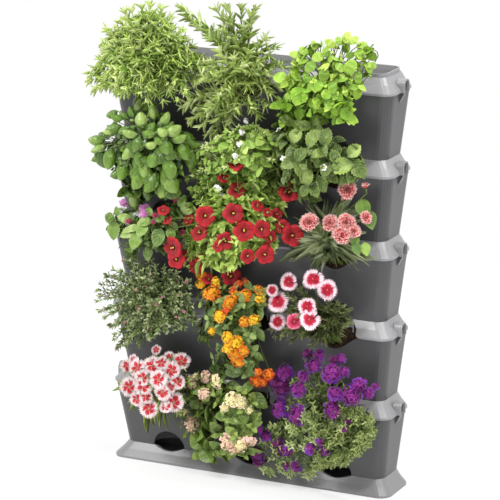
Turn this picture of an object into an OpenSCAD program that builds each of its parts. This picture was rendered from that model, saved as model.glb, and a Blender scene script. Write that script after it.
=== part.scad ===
// Tiered planter: a water tray, five stacked planter boxes, each with its own lid, and fifteen plants.
// Millimetres. The front faces -Y, the origin is on the floor under the middle of the tray.

/* [Planter box] */
// Width of a box across its bottom edge
foot_w = 590; // [570:5:600]
// Width of a box across its rim
rim_w = 628; // [618:2:640]
// Front face of a box at its bottom edge, forward of the middle
foot_front = 37; // [34:1:44]
// Front face of a box at its rim, forward of the middle
rim_front = 58; // [54:1:62]
// Back face of a box, behind the middle
back_y = 58; // [54:1:64]
// Height of a box from its bottom edge to its rim
box_h = 139; // [130:0.5:150]
// Wall of a box
box_wall = 2.6; // [2:0.2:3.2]
// Floor of a box
floor_t = 3; // [2:0.5:4]
// How far the walls of a box reach below its floor
skirt_h = 8; // [7:0.5:10]
// Outside corner radius of a box
corner_r = 22; // [18:1:26]
// Radius of the drain holes in a box floor
drain_r = 4; // [2:0.5:6]
// Distance between drain holes
drain_pitch = 96; // [88:1:104]

/* [Plant pockets] */
// Distance between plant columns
column_pitch = 192; // [182:1:196]
// Half width of the dip in the front rim at a column
dip_half_w = 69; // [60:1:76]
// Depth of the dip in the front rim
dip_depth = 34; // [26:1:38]
// Radius of the scoop in the foot of a front wall, over the plant below
scoop_r = 36; // [32:1:38]

/* [Lid] */
// Height of a lid from the rim under it to the foot of the box on it
lid_h = 28.5; // [26:0.5:34]
// Wall of a lid
lid_wall = 2.5; // [2:0.1:3]
// How far a lid reaches down over the rim
lid_lap = 3; // [2:0.5:5]
// Half width of a lid opening at the lower edge
opening_half_w = 50; // [44:1:54]
// Radius of the rounded lower corners of a lid opening
opening_corner_r = 14; // [10:1:16]
// Height of the upright band along the lower edge of a lid and of the tray
edge_band = 4.5; // [3.5:0.5:8]
// How far the flare hangs in from a straight slope at its middle
flare_sag = 1.6; // [0:0.2:3]

/* [Tray] */
// Height of the tray up to the foot of the first box
tray_h = 31; // [28:0.5:38]
// Wall of the tray
tray_wall = 2.6; // [2:0.2:3.2]
// Floor of the tray
tray_floor = 3; // [2:0.5:4]
// How far the tray's front edge dips under a scoop
tray_dip = 8; // [4:0.5:12]

/* [End lugs] */
// Radius of the round lug on each end of a box
lug_r = 9; // [8:0.5:10]
// Height of the middle of a lug above the rim
lug_rise = 11; // [10:0.5:13]
// Thickness of a lug
lug_t = 9; // [7:0.5:10]
// Radius of the hole through a lug
lug_bore_r = 3.2; // [2:0.1:4]
// How far the rib under a lug runs down the end wall
lug_rib = 28; // [16:1:40]
// Wall of the hood that a lid has round each lug
hood_wall = 2.6; // [2:0.2:3.2]
// How far a hood stands out past the lower edge of its lid
hood_reach = 8; // [6:0.5:10]

/* [Wall fixing] */
// Distance between the two screw holes in the back of the top box
screw_pitch = 384; // [300:4:420]
// Radius of a screw hole
screw_r = 3; // [2:0.25:4]
// How far the screw holes lie below the rim
screw_drop = 22; // [16:1:30]

/* [Soil and roots] */
// How far the soil stays below the rim
soil_drop = 4; // [3:0.5:8]
// Radius of the hollow in the soil behind each dip
soil_bowl_r = 75; // [70:1:80]
// Radius of a root ball
root_r = 15; // [12:1:16]
// Depth of a root ball
root_depth = 60; // [40:1:80]
// Radius of the stems where they leave the root ball
stem_r = 9; // [6:0.5:12]
// How far the upright stems reach above the rim
stem_rise = 18; // [10:1:24]
// Radius of the bundle of stems that leans out over the dip
arm_r = 10; // [8:0.5:12]
// Height of that bundle above the lowest point of the dip
arm_rise = 14; // [6:0.5:16]

/* [Clearances] */
// Gap between a box and the lid or tray that it nests in
nest_gap = 0.5; // [0.3:0.1:1]
// Gap round the soil and round each root ball
soil_gap = 0.3; // [0.2:0.1:0.5]
// Gap round a lug inside its hood
hood_gap = 1.4; // [1:0.2:2]
// Gap between foliage and whatever it hangs in front of
leaf_gap = 2; // [1:0.5:4]

/* [Hidden] */
tiers = 5;
columns = [-1, 0, 1];
corner_steps = 5;
over = 1;
opening_ease = 0.8;

// What grows in each tier, from the left column to the right one, lowest tier first:
// name, then the reach of the foliage from its column and its rim: left, right, down, up and forward,
// then how many lobes it has round it, and how deep the hollows between them are.
plants = [
    [["white_dianthus", 94, 87, 102, 94, 88, 8, 0.16],
     ["pastel_lantana", 95, 60, 133, 56, 84, 8, 0.18],
     ["purple_verbena", 95, 133, 126, 145, 96, 12, 0.16]],
    [["cuphea", 140, 95, 71, 133, 92, 12, 0.14],
     ["orange_lantana", 93, 88, 109, 106, 86, 8, 0.2],
     ["pink_dianthus", 95, 66, 20, 146, 92, 8, 0.18]],
    [["pink_geranium", 109, 78, 27, 84, 84, 8, 0.22],
     ["red_petunia", 95, 95, 59, 134, 96, 8, 0.16],
     ["carnation", 64, 129, 20, 144, 84, 12, 0.24]],
    [["basil", 141, 95, 81, 118, 100, 12, 0.12],
     ["alyssum", 90, 95, 31, 96, 88, 8, 0.16],
     ["strawberry", 95, 98, 21, 113, 94, 8, 0.18]],
    [["savory", 140, 95, 47, 143, 96, 12, 0.2],
     ["rosemary", 95, 95, 69, 165, 90, 12, 0.28],
     ["lemon_balm", 95, 111, 52, 124, 92, 8, 0.14]]
];

// A plan is [half width, front, back, corner radius]
foot_plan = [foot_w / 2, -foot_front, back_y, corner_r];
rim_plan = [rim_w / 2, -rim_front, back_y, corner_r];
lid_skirt = lid_wall + nest_gap;
lid_plan = grown(rim_plan, lid_skirt);
lip_inset = box_wall + nest_gap;
lip_h = skirt_h - nest_gap;
tier_pitch = box_h + lid_h;
soil_top = box_h - soil_drop;
soil_floor = skirt_h + floor_t;
leaf_front = lid_plan[1] - leaf_gap;
lug_x0 = rim_w / 2 - box_wall;
lug_x1 = lug_x0 + lug_t;
hood_r = lug_r + hood_gap;
hood_back = lug_x0 - hood_gap;
hood_x1 = lid_plan[0] + hood_reach;

function grown(plan, by) = plan + [by, -by, by, by];
function between(a, b, t) = a + (b - a) * t;
function box_plan(z) = between(foot_plan, rim_plan, z / box_h);
function column_x(c) = c * column_pitch;
function tier_z(i) = tray_h + (i - 1) * tier_pitch;

// Points round a plan at height z, anticlockwise seen from above
function level(plan, z) = [
    for (c = [0:3]) for (i = [0:corner_steps])
        let (a = 90 * (c + i / corner_steps), r = plan[3],
             cx = (c == 0 || c == 3) ? plan[0] - r : r - plan[0],
             cy = c < 2 ? plan[2] - r : plan[1] + r)
            [cx + r * cos(a), cy + r * sin(a), z]
];

// Side faces between one ring of n points and the next, for rings first..last
function side_faces(n, first, last) = [
    for (k = [first:last - 1]) for (i = [0:n - 1])
        let (j = (i + 1) % n) each [[k * n + i, (k + 1) * n + i, (k + 1) * n + j],
                                    [k * n + i, (k + 1) * n + j, k * n + j]]
];

// A solid through a stack of levels
module loft(levels) {
    n = len(levels[0]);
    m = len(levels);
    polyhedron(
        points = [for (l = levels) each l],
        faces = concat([[for (i = [0:n - 1]) i]], side_faces(n, 0, m - 1),
                       [[for (i = [n - 1:-1:0]) (m - 1) * n + i]]));
}

// Outline of a smooth dip, from z = 0 down to -depth, closed far above
function dip_outline(half_w, depth, steps = 16) = concat(
    [for (i = [0:steps]) let (u = 2 * i / steps - 1) [half_w * u, -depth * (1 + cos(180 * u)) / 2]],
    [[half_w + 0.01, 0], [half_w + 0.01, 60], [-half_w - 0.01, 60], [-half_w - 0.01, 0]]
);

// A cut through a front wall: an outline in X and Z, from far in front back to y = to
module front_cut(to) {
    translate([0, to, 0]) rotate([90, 0, 0]) linear_extrude(height = 120) children();
}

module at_columns() {
    for (c = columns) translate([column_x(c), 0, 0]) children();
}

module at_ends() {
    for (side = [0, 1]) mirror([side, 0, 0]) children();
}

// The flare of the tray and of each lid: outside plans from the lower edge up to the shoulder and lip
function flare_levels(z_low, z_high) =
    let (mid = between(lid_plan, foot_plan, 0.5)) [
        level(lid_plan, z_low),
        level(lid_plan, z_low + edge_band),
        level(grown(mid, -flare_sag), (z_low + edge_band + z_high) / 2),
        level(foot_plan, z_high),
        level(grown(foot_plan, -lip_inset), z_high),
        level(grown(foot_plan, -lip_inset), z_high + lip_h)
    ];

module tray() color([0.36, 0.36, 0.37]) difference() {
    loft(flare_levels(0, tray_h));
    tray_hollow();
    at_columns() translate([0, 0, tray_h + lip_h])
        front_cut(-foot_front + lip_inset + tray_wall + over)
            polygon(dip_outline(dip_half_w, lip_h + tray_dip));
}

module tray_hollow() {
    inset = lip_inset + tray_wall;
    loft([
        level(grown(lid_plan, -tray_wall - 1), tray_floor),
        level(grown(between(lid_plan, foot_plan, 0.5), -tray_wall - flare_sag), (edge_band + tray_h) / 2),
        level(grown(foot_plan, -inset), tray_h - tray_wall),
        level(grown(foot_plan, -inset), tray_h + lip_h + over)
    ]);
}

// Everything inside the outer skin of a box, grown by a distance
module box_body(grow = 0) {
    loft([level(grown(foot_plan, grow), 0), level(grown(rim_plan, grow), box_h)]);
}

module box_hollow() {
    loft([
        level(grown(box_plan(soil_floor), -box_wall), soil_floor),
        level(grown(box_plan(box_h + over), -box_wall), box_h + over)
    ]);
    loft([
        level(grown(foot_plan, -box_wall), -over),
        level(grown(foot_plan, -box_wall), skirt_h)
    ]);
}

module scoop(r) {
    translate([0, -foot_front, 0]) sphere(r = r, $fn = 48);
}

// The inside wall of a scoop, from the floor up
module scoop_wall() {
    intersection() {
        scoop(scoop_r + box_wall);
        translate([-scoop_r * 2, -foot_front, skirt_h]) cube([scoop_r * 4, scoop_r * 2, scoop_r * 2]);
    }
}

module drain_holes() {
    for (k = [-2:2]) translate([k * drain_pitch, back_y / 2, 0])
        cylinder(r = drain_r, h = soil_floor + over, $fn = 32);
}

module lug() {
    z = box_h + lug_rise;
    translate([lug_x0, 0, z]) rotate([0, 90, 0]) cylinder(r = lug_r, h = lug_t, $fn = 48);
    translate([0, lug_r * 0.8, 0]) rotate([90, 0, 0]) linear_extrude(height = lug_r * 1.6) polygon([
        [lug_x0, z], [lug_x0 + 0.4, box_h], [box_plan(box_h - lug_rib)[0] - box_wall / 2, box_h - lug_rib],
        [lug_x1, box_h - lid_lap - lug_r / 2], [lug_x1, z]
    ]);
}

module lug_bore() {
    translate([lug_x0 - over, 0, box_h + lug_rise]) rotate([0, 90, 0])
        cylinder(r = lug_bore_r, h = lug_t + 2 * over, $fn = 32);
}

module planter(i) translate([0, 0, tier_z(i)]) color([0.27, 0.27, 0.28]) difference() {
    union() {
        difference() {
            box_body();
            box_hollow();
        }
        at_columns() scoop_wall();
        at_ends() lug();
    }
    at_columns() scoop(scoop_r);
    at_columns() translate([0, 0, box_h]) front_cut(-foot_front + over) polygon(dip_outline(dip_half_w, dip_depth));
    drain_holes();
    at_ends() lug_bore();
    if (i == tiers) screw_holes();
}

module screw_holes() {
    for (side = [-1, 1]) translate([side * screw_pitch / 2, back_y - box_wall - over, box_h - screw_drop])
        rotate([-90, 0, 0]) cylinder(r = screw_r, h = box_wall + 2 * over, $fn = 32);
}

// The inside of a lid: the room for the rim below, then a funnel up to the lip
module lid_hollow() {
    funnel = grown(foot_plan, -lip_inset - lid_wall);
    loft([
        level(grown(lid_plan, -lid_wall), -lid_lap - over),
        level(grown(lid_plan, -lid_wall), 0)
    ]);
    loft([
        level(grown(lid_plan, -lid_skirt - box_wall - nest_gap), -over),
        level(funnel, lid_h - lid_wall),
        level(funnel, lid_h + lip_h + over)
    ]);
}

// Outline of a lid opening: straight sides that lean out, and round lower corners
module opening_outline() {
    high = scoop_r + opening_ease;
    low = opening_half_w;
    top = lid_h + lip_h + over;
    corner = [for (i = [0:6]) let (a = 15 * i) opening_corner_r * [1 - cos(a), 1 - sin(a)]];
    right = concat([[high, top], [high, lid_h - over]], [for (c = corner) [low + c[0], c[1] - lid_lap]]);
    left = [for (i = [len(right) - 1:-1:0]) [-right[i][0], right[i][1]]];
    polygon(concat(right, [[low + opening_corner_r, -lid_lap - over]],
                   [[-low - opening_corner_r, -lid_lap - over]], left));
}

// The walls that join the front of a lid behind an opening: a half round with straight cheeks
module opening_web() {
    low = nest_gap * 2;
    r = scoop_r + lid_wall;
    intersection() {
        union() {
            translate([0, -foot_front, low]) cylinder(r = r, h = lid_h * 2, $fn = 48);
            translate([-r, -rim_front - lid_wall * 4, low]) cube([2 * r, rim_front - foot_front + lid_wall * 4, lid_h * 2]);
        }
        loft(flare_levels(-lid_lap, lid_h));
    }
}

// The way down through a lid at an opening
module opening_throat() {
    tall = lid_h * 3;
    translate([0, -foot_front, -lid_lap - over]) cylinder(r = scoop_r, h = tall, $fn = 48);
    translate([-scoop_r, -rim_front - lid_wall * 6, -lid_lap - over])
        cube([2 * scoop_r, rim_front - foot_front + lid_wall * 6, tall]);
}

module lid(i) translate([0, 0, tier_z(i) + box_h]) color([0.52, 0.52, 0.53]) difference() {
    union() {
        difference() {
            loft(flare_levels(-lid_lap, lid_h));
            lid_hollow();
        }
        at_columns() opening_web();
        at_ends() hood();
    }
    at_columns() opening_throat();
    at_columns() front_cut(-foot_front - over) opening_outline();
    at_ends() hood_hollow();
}

// The outside of the hood round a lug
module hood() {
    r = hood_r + hood_wall;
    x0 = hood_back - hood_wall;
    translate([x0, 0, lug_rise]) rotate([0, 90, 0]) cylinder(r = r, h = hood_x1 - x0, $fn = 48);
    translate([x0, -r, nest_gap]) cube([hood_x1 - x0, 2 * r, lug_rise - nest_gap]);
    translate([lid_plan[0] - lid_wall, -r, -lid_lap]) cube([hood_x1 - lid_plan[0] + lid_wall, 2 * r, lug_rise]);
}

// The room for a lug inside its hood, open outwards and downwards
module hood_hollow() {
    translate([hood_back, 0, lug_rise]) rotate([0, 90, 0]) cylinder(r = hood_r, h = lug_t * 4, $fn = 48);
    translate([hood_back, -hood_r, -lid_lap - over]) cube([lug_t * 4, 2 * hood_r, lug_rise + lid_lap + over]);
}

// The soil in a box, with a hollow behind each dip and a hole for each root ball
module soil(i) translate([0, 0, tier_z(i)]) color([0.2, 0.13, 0.09]) difference() {
    loft([
        level(grown(box_plan(soil_floor), -box_wall - soil_gap), soil_floor),
        level(grown(box_plan(soil_top), -box_wall - soil_gap), soil_top)
    ]);
    at_columns() {
        scoop(scoop_r + box_wall + soil_gap);
        soil_bowl();
        translate([0, root_y(), root_top() - root_depth])
            cylinder(r = root_r + soil_gap, h = root_depth + soil_bowl_r, $fn = 32);
    }
}

// The soil falls from its top, behind, to just below the dip in the front rim
function dip_wall_y() = box_plan(box_h - dip_depth)[1] + box_wall;
function bowl_y() = dip_wall_y() - soil_bowl_r * 0.6;
function bowl_z() = box_h - dip_depth - leaf_gap + soil_bowl_r * 0.8;
function root_top() = box_h - dip_depth - 2;
function root_y() = box_plan(root_top() - root_depth)[1] + box_wall + soil_gap * 4 + root_r;

module soil_bowl() {
    translate([0, bowl_y(), bowl_z()]) sphere(r = soil_bowl_r, $fn = 64);
}

// Half of a bush, flat behind: rings of lobes from the flat back to a point in front
module foliage(left, right, down, up, forward, lobes, hollow) {
    n = lobes * 3;
    depth = [0, 0.14, 0.34, 0.56, 0.76, 0.92];
    spread = [0.84, 1, 0.98, 0.86, 0.66, 0.36];
    rings = [for (k = [0:len(depth) - 1]) [
        for (i = [0:n - 1])
            let (a = 360 * i / n, reach_x = cos(a) < 0 ? left : right, reach_z = sin(a) < 0 ? down : up,
                 lobe = 1 - hollow * (0.5 - 0.5 * cos(lobes * a + 180 * (k - 1))),
                 square = pow(pow(abs(cos(a)), 3) + pow(abs(sin(a)), 3), -1 / 3),
                 s = spread[k] * lobe * square)
                [reach_x * cos(a) * s, leaf_front - forward * depth[k], box_h + reach_z * sin(a) * s]
    ]];
    tip = len(depth) * n;
    polyhedron(
        points = concat([for (r = rings) each r], [[(right - left) / 4, leaf_front - forward, box_h + (up - down) / 4]]),
        faces = concat([[for (i = [0:n - 1]) i]], side_faces(n, 0, len(depth) - 1),
                       [for (i = [0:n - 1]) [tip - n + i, tip, tip - n + (i + 1) % n]]));
}

// Root ball, stems and the branch that leans out over the dip
module crown() {
    z = box_h - dip_depth + arm_r + arm_rise;
    translate([0, root_y(), root_top() - root_depth]) cylinder(r = root_r, h = root_depth, $fn = 32);
    translate([0, root_y(), root_top() - over]) cylinder(r = stem_r, h = dip_depth + stem_rise, $fn = 24);
    translate([0, root_y(), z]) rotate([90, 0, 0])
        cylinder(r = arm_r, h = root_y() - leaf_front - soil_gap, $fn = 24);
}

module plant(i, c) translate([column_x(c), 0, tier_z(i)]) {
    p = plants[i - 1][c + 1];
    color([0.35, 0.5, 0.2]) {
        crown();
        foliage(p[1], p[2], p[3], p[4], p[5], p[6], p[7]);
    }
}

tray();
for (i = [1:tiers]) {
    planter(i);
    lid(i);
    soil(i);
    for (c = columns) plant(i, c);
}
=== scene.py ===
"""A tiered planter of grey plastic boxes with collar lids, on a water tray, planted with herbs and flowers."""

import math

import bpy
import numpy as np
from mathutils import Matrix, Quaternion, Vector


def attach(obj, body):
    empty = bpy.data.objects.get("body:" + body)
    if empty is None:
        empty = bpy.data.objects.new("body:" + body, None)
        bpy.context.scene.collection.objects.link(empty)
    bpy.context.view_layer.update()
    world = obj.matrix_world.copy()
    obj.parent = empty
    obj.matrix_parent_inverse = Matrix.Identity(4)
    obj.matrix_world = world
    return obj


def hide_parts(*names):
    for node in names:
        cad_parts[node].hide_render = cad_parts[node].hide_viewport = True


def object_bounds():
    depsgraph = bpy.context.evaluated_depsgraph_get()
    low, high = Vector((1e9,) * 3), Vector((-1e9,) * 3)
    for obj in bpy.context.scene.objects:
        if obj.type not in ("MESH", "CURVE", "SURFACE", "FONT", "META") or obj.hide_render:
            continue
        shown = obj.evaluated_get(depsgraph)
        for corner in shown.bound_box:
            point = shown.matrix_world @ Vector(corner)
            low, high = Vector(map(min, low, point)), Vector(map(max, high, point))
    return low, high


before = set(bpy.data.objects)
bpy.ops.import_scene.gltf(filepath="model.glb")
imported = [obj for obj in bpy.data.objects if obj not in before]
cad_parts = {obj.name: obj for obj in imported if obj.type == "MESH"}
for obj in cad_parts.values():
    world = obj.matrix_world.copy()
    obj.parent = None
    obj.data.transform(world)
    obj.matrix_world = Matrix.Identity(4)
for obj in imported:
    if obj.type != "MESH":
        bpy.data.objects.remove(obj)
cad_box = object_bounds()

MM = 0.001
COLUMN = 192.0
TRAY_H, BOX_H, LID_H = 31.0, 139.0, 28.5
ROOT_Y, ROOT_DOWN = -40.0, 22.0     # where a plant's stems start, and how far that is below the box's rim
ROOT_SPREAD = (14, 5, 5)            # and how far apart they start
SIGHT_PLANE = -110.0     # places of leaves and flowers are given on this upright plane, as the camera sees them
WALL = -63.0             # the leaves start at this upright plane
CLEAR_FRONT = -62.6      # leaves stay in front of this plane, except in a plant's own opening
OPENING = (33.0, 31.0, 26.0)     # half the width of that opening, and its reach below and above the rim
ACROSS, UPWARD = 0.481, 0.3056   # how far a point seen on the plane moves, for each millimetre nearer the camera
FRONT = np.array((0.3, -0.9, 0.25))      # the way that flowers face
SIDEWAYS, UPRIGHT = np.array((0.901, 0.434, 0.0)), np.array((-0.115, 0.239, 0.964))    # as the camera sees them
LOW = np.array(cad_box[0]) * 1000 + 0.5
HIGH = np.array(cad_box[1]) * 1000 - 0.5
ANY_TURN = (0.0, 6.28)
FULL_TURN = 6.283
STEM_UP, SPRIG_UP, SHOOT_UP = (0.31, 0.2, 0.93), (0.2, 0.3, 0.93), (0.2, 0.1, 0.97)    # nearly upright, to find a side
TO_LIGHT, CROWN_LIGHT, SHOOT_LIGHT = (0.1, -0.45, 0.5), (0.1, -0.5, 0.4), (0, -0.1, 0.25)    # how leaves turn to it
LEAN, SAG = (0, -0.15, 0.12), (0, 0, 0.12)     # how a sprig's leaves lean forward, and how a shoot's leaves sag
HEAD_TURN = 2.39996      # from one floret of a rounded head to the next, as sunflowers do
TRIES = 6                # random places that are tried for each one that is kept
DEPTH_STEPS = 6          # steps in which the depth of a place on the plant's front is found

# Each plant's tier and column, the seed of its random draws, and how far it reaches from its column and its rim:
# left, right, down, up and forward
PLANTS = {
    "white_dianthus": (1, -1, 11, 94, 87, 102, 94, 88), "pastel_lantana": (1, 0, 12, 95, 60, 133, 56, 84),
    "purple_verbena": (1, 1, 13, 95, 133, 126, 145, 96), "cuphea": (2, -1, 21, 140, 95, 71, 133, 92),
    "orange_lantana": (2, 0, 22, 93, 88, 109, 106, 86), "pink_dianthus": (2, 1, 23, 95, 66, 20, 146, 92),
    "pink_geranium": (3, -1, 31, 109, 78, 27, 84, 84), "red_petunia": (3, 0, 32, 95, 95, 59, 134, 96),
    "carnation": (3, 1, 33, 64, 129, 20, 144, 84), "basil": (4, -1, 41, 141, 95, 81, 118, 100),
    "alyssum": (4, 0, 42, 90, 95, 31, 96, 88), "strawberry": (4, 1, 43, 95, 98, 21, 113, 94),
    "savory": (5, -1, 51, 140, 95, 47, 143, 96), "rosemary": (5, 0, 52, 95, 95, 69, 165, 90),
    "lemon_balm": (5, 1, 53, 95, 111, 52, 124, 92),
}


def rim(tier):
    return TRAY_H + (tier - 1) * (BOX_H + LID_H) + BOX_H


def srgb(text):
    """A colour's six hex digits as linear numbers."""
    def line(c):
        c /= 255.0
        return c / 12.92 if c <= 0.04045 else ((c + 0.055) / 1.055) ** 2.4
    return (*(line(int(text[k:k + 2], 16)) for k in (0, 2, 4)), 1.0)


def scaled(colour, by):
    return (*(by * c for c in colour[:3]), 1.0)


# ---------------------------------------------------------------- node materials

class Nodes:
    """Short names for the nodes of one material or world."""

    def __init__(self, owner):
        owner.use_nodes = True
        self.owner, self.tree = owner, owner.node_tree
        self.shader = self.tree.nodes.get("Principled BSDF")

    def new(self, kind, values=None, **settings):
        node = self.tree.nodes.new("ShaderNode" + kind)
        for key, value in settings.items():
            setattr(node, key, value)
        for key, value in (values or {}).items():
            self.give(node.inputs[key], value)
        return node

    def give(self, socket, value):
        if isinstance(value, bpy.types.NodeSocket):
            self.tree.links.new(value, socket)
        else:
            socket.default_value = value

    def math(self, op, a, b=0.0, c=0.0, clamp=False):
        return self.new("Math", {0: a, 1: b, 2: c}, operation=op, use_clamp=clamp).outputs[0]

    def times(self, a, b, clamp=False):
        return self.math("MULTIPLY", a, b, clamp=clamp)

    def minus(self, a, b, clamp=False):
        return self.math("SUBTRACT", a, b, clamp=clamp)

    def most(self, a, b):
        return self.math("MAXIMUM", a, b)

    def line(self, a, slope, start):
        return self.math("MULTIPLY_ADD", a, slope, start)

    def middle_out(self, u):
        """Distance from the middle of a leaf or petal, 0.5 at its sides."""
        return self.math("ABSOLUTE", self.minus(u, 0.5))

    def mix(self, fac, a, b, how="MIX"):
        return self.new("Mix", {0: fac, 6: a, 7: b}, data_type="RGBA", blend_type=how).outputs[2]

    def ramp(self, fac, stops):
        node = self.new("ValToRGB", {0: fac})
        ramp = node.color_ramp
        while len(ramp.elements) < len(stops):
            ramp.elements.new(0.5)
        for element, (place, colour) in zip(ramp.elements, stops):
            element.position = place
            element.color = colour
        return node.outputs[0]

    def noise(self, scale, detail=3.0, rough=0.5):
        values = {"Scale": scale, "Detail": detail, "Roughness": rough, "Vector": self.here()}
        return self.new("TexNoise", values).outputs[0]

    def here(self):
        return self.new("TexCoord").outputs["Object"]

    def tone(self):
        return self.new("Attribute", attribute_name="tone").outputs["Fac"]

    def uv(self):
        parts = self.new("SeparateXYZ", {0: self.new("UVMap", uv_map="UVMap").outputs[0]})
        return parts.outputs[0], parts.outputs[1]

    def looked_at(self):
        """1 where the camera, a reflection or a view through something sees the surface or the sky."""
        path = self.new("LightPath").outputs
        return self.most(self.most(path["Is Camera Ray"], path["Is Transmission Ray"]), path["Is Glossy Ray"])

    def show(self, part, a, b, output):
        """The output gets shader a, and as much of shader b as the part says."""
        both = self.new("MixShader", {0: part, 1: a.outputs[0], 2: b.outputs[0]})
        self.tree.links.new(both.outputs[0], output.inputs[0])

    def bump(self, height, strength, distance):
        node = self.new("Bump", {"Height": height, "Strength": strength, "Distance": distance})
        self.tree.links.new(node.outputs[0], self.shader.inputs["Normal"])

    def finish(self, colour, rough, specular, sheen=0.0):
        self.give(self.shader.inputs["Base Color"], colour)
        self.give(self.shader.inputs["Roughness"], rough)
        self.shader.inputs["Specular IOR Level"].default_value = specular
        self.shader.inputs["Sheen Weight"].default_value = sheen
        return self.owner


def new_material(name):
    return Nodes(bpy.data.materials.new(name))


def new_object(name, data):
    obj = bpy.data.objects.new(name, data)
    bpy.context.scene.collection.objects.link(obj)
    return obj


def plastic(name, colour, dust):
    """Moulded plastic: fine grain, faint cloudiness, a little dust where it faces up."""
    n = new_material(name)
    cloud = n.noise(9.0, 4.0)
    up = n.new("SeparateXYZ", {0: n.new("NewGeometry").outputs["Normal"]}).outputs[2]
    dusty = n.times(n.most(up, 0.0), n.noise(40.0, 4.0))
    base = n.mix(cloud, scaled(srgb(colour), 0.9), scaled(srgb(colour), 1.1))
    base = n.mix(n.times(dusty, dust), base, srgb("96948e"))
    n.bump(n.noise(900.0, 2.0), 0.12, 0.0006)
    return n.finish(base, n.line(cloud, 0.08, 0.26), 0.4)


def soil_stuff():
    n = new_material("potting_soil")
    coarse = n.noise(120.0, 8.0, 0.7)
    fine = n.noise(600.0, 6.0, 0.7)
    bark = n.new("TexVoronoi", {"Scale": 170.0, "Vector": n.here()}).outputs[0]
    base = n.ramp(coarse, [(0.3, srgb("221914")), (0.52, srgb("463429")), (0.72, srgb("7c6250"))])
    base = n.mix(n.math("LESS_THAN", bark, 0.16), base, srgb("80644e"))
    n.bump(n.math("ADD", coarse, n.times(fine, 0.5)), 1.0, 0.004)
    return n.finish(base, 0.9, 0.2)


def leaf_stuff(name, dark, light, pale, veins, rough=0.45, side_veins=7.0, border=0.2, foot=0.5):
    """A leaf: tone from leaf to leaf, a pale midrib, side veins that also stand out, faint blotches, a pale border
    and a dark foot where the next leaves shade it."""
    n = new_material(name)
    dark, light, pale = srgb(dark), srgb(light), srgb(pale)
    u, v = n.uv()
    off = n.middle_out(u)
    shade = n.line(n.noise(55.0), 0.5, n.line(n.tone(), 0.8, -0.18))
    base = n.ramp(shade, [(0.05, dark), (0.55, light), (0.95, pale)])
    rib = n.minus(1.0, n.times(off, 26.0), clamp=True)
    wave = n.math("SINE", n.times(n.minus(v, n.times(off, 0.9)), FULL_TURN * side_veins))
    vein = n.math("POWER", n.line(wave, 0.5, 0.5), 3.0)
    lines = n.most(rib, n.times(vein, 0.7))
    outer = n.times(n.minus(off, 0.4), 12.0, clamp=True)
    near_stalk = n.minus(1.0, n.times(v, 3.6), clamp=True)
    # Towards the tip the leaf is painted paler: a painted highlight where the tips catch the light.
    for place, share in ((lines, veins), (n.math("POWER", v, 4.0), 0.25), (outer, border)):
        base = n.mix(n.times(place, share), base, pale)
    base = n.mix(n.times(near_stalk, foot), base, scaled(dark, 0.6))
    n.bump(n.times(lines, -1.0), 0.4, 0.0009)
    return n.finish(base, rough, 0.45)


def stem_stuff(name, low, high):
    n = new_material(name)
    base = n.mix(n.line(n.noise(60.0), 0.6, n.times(n.tone(), 0.5)), srgb(low), srgb(high))
    n.bump(n.noise(700.0, 2.0), 0.2, 0.0005)
    return n.finish(base, 0.55, 0.4)


def petal_stuff(name, heart, middle, edge, eye, border, streak, vein=26.0, swap=None, point=0.0, sides=0.0,
                blotch=0.12):
    """A petal: heart, middle and edge colours from the centre out, with ragged borders and fine streaks.
    swap is a second middle colour that takes over with the tone; point draws the zones in at the petal's sides, and
    sides is how much of each side has the edge colour from end to end."""
    n = new_material(name)
    middle = srgb(middle)
    u, v = n.uv()
    ragged = n.times(n.minus(n.noise(260.0), 0.5), streak)
    ray = n.times(n.math("SINE", n.times(u, FULL_TURN * vein)), 0.05 * min(1.0, streak * 3))
    r = n.math("ADD", n.math("ADD", v, ragged), ray)
    if point:
        r = n.math("ADD", r, n.times(n.middle_out(u), point))
    if swap:
        middle = n.mix(n.math("GREATER_THAN", n.tone(), 0.5), middle, srgb(swap))
    inner = n.times(n.minus(r, eye - 0.04), 12.0, clamp=True)
    outer = n.times(n.minus(r, border - 0.06), 8.0, clamp=True)
    if sides:
        off = n.math("ADD", n.middle_out(u), n.times(ragged, 0.4))
        outer = n.most(outer, n.times(n.minus(off, 0.5 - sides), 14.0, clamp=True))
    base = n.mix(outer, n.mix(inner, srgb(heart), middle), srgb(edge))
    lift = n.math("ADD", n.line(n.tone(), 0.25, 0.86 - blotch), n.times(n.noise(90.0), 2 * blotch))
    base = n.mix(1.0, base, n.new("CombineColor", {0: lift, 1: lift, 2: lift}).outputs[0], "MULTIPLY")
    n.bump(ray, 0.3, 0.0008)
    return n.finish(base, 0.6, 0.3, 0.15)


# ---------------------------------------------------------------- shapes of leaves and petals, one unit long

def grid(rows, cols, closed=False):
    """The faces of a sheet of points. The last column joins the first where the sheet is closed."""
    return [(i * cols + j, i * cols + (j + 1) % cols, (i + 1) * cols + (j + 1) % cols, (i + 1) * cols + j)
            for i in range(rows - 1) for j in range(cols if closed else cols - 1)]


def around(radius, angle, height):
    return radius * math.cos(angle), radius * math.sin(angle), height


def profile(rows, belly=0.45, blunt=0.7, base=0.1):
    """Widths of a leaf from stalk to tip: belly says where it is widest, blunt how full its ends are."""
    lean = math.log(0.5) / math.log(belly)
    return [base] + [math.sin(math.pi * (i / (rows - 1)) ** lean) ** blunt for i in range(1, rows - 1)] + [0.04]


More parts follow.
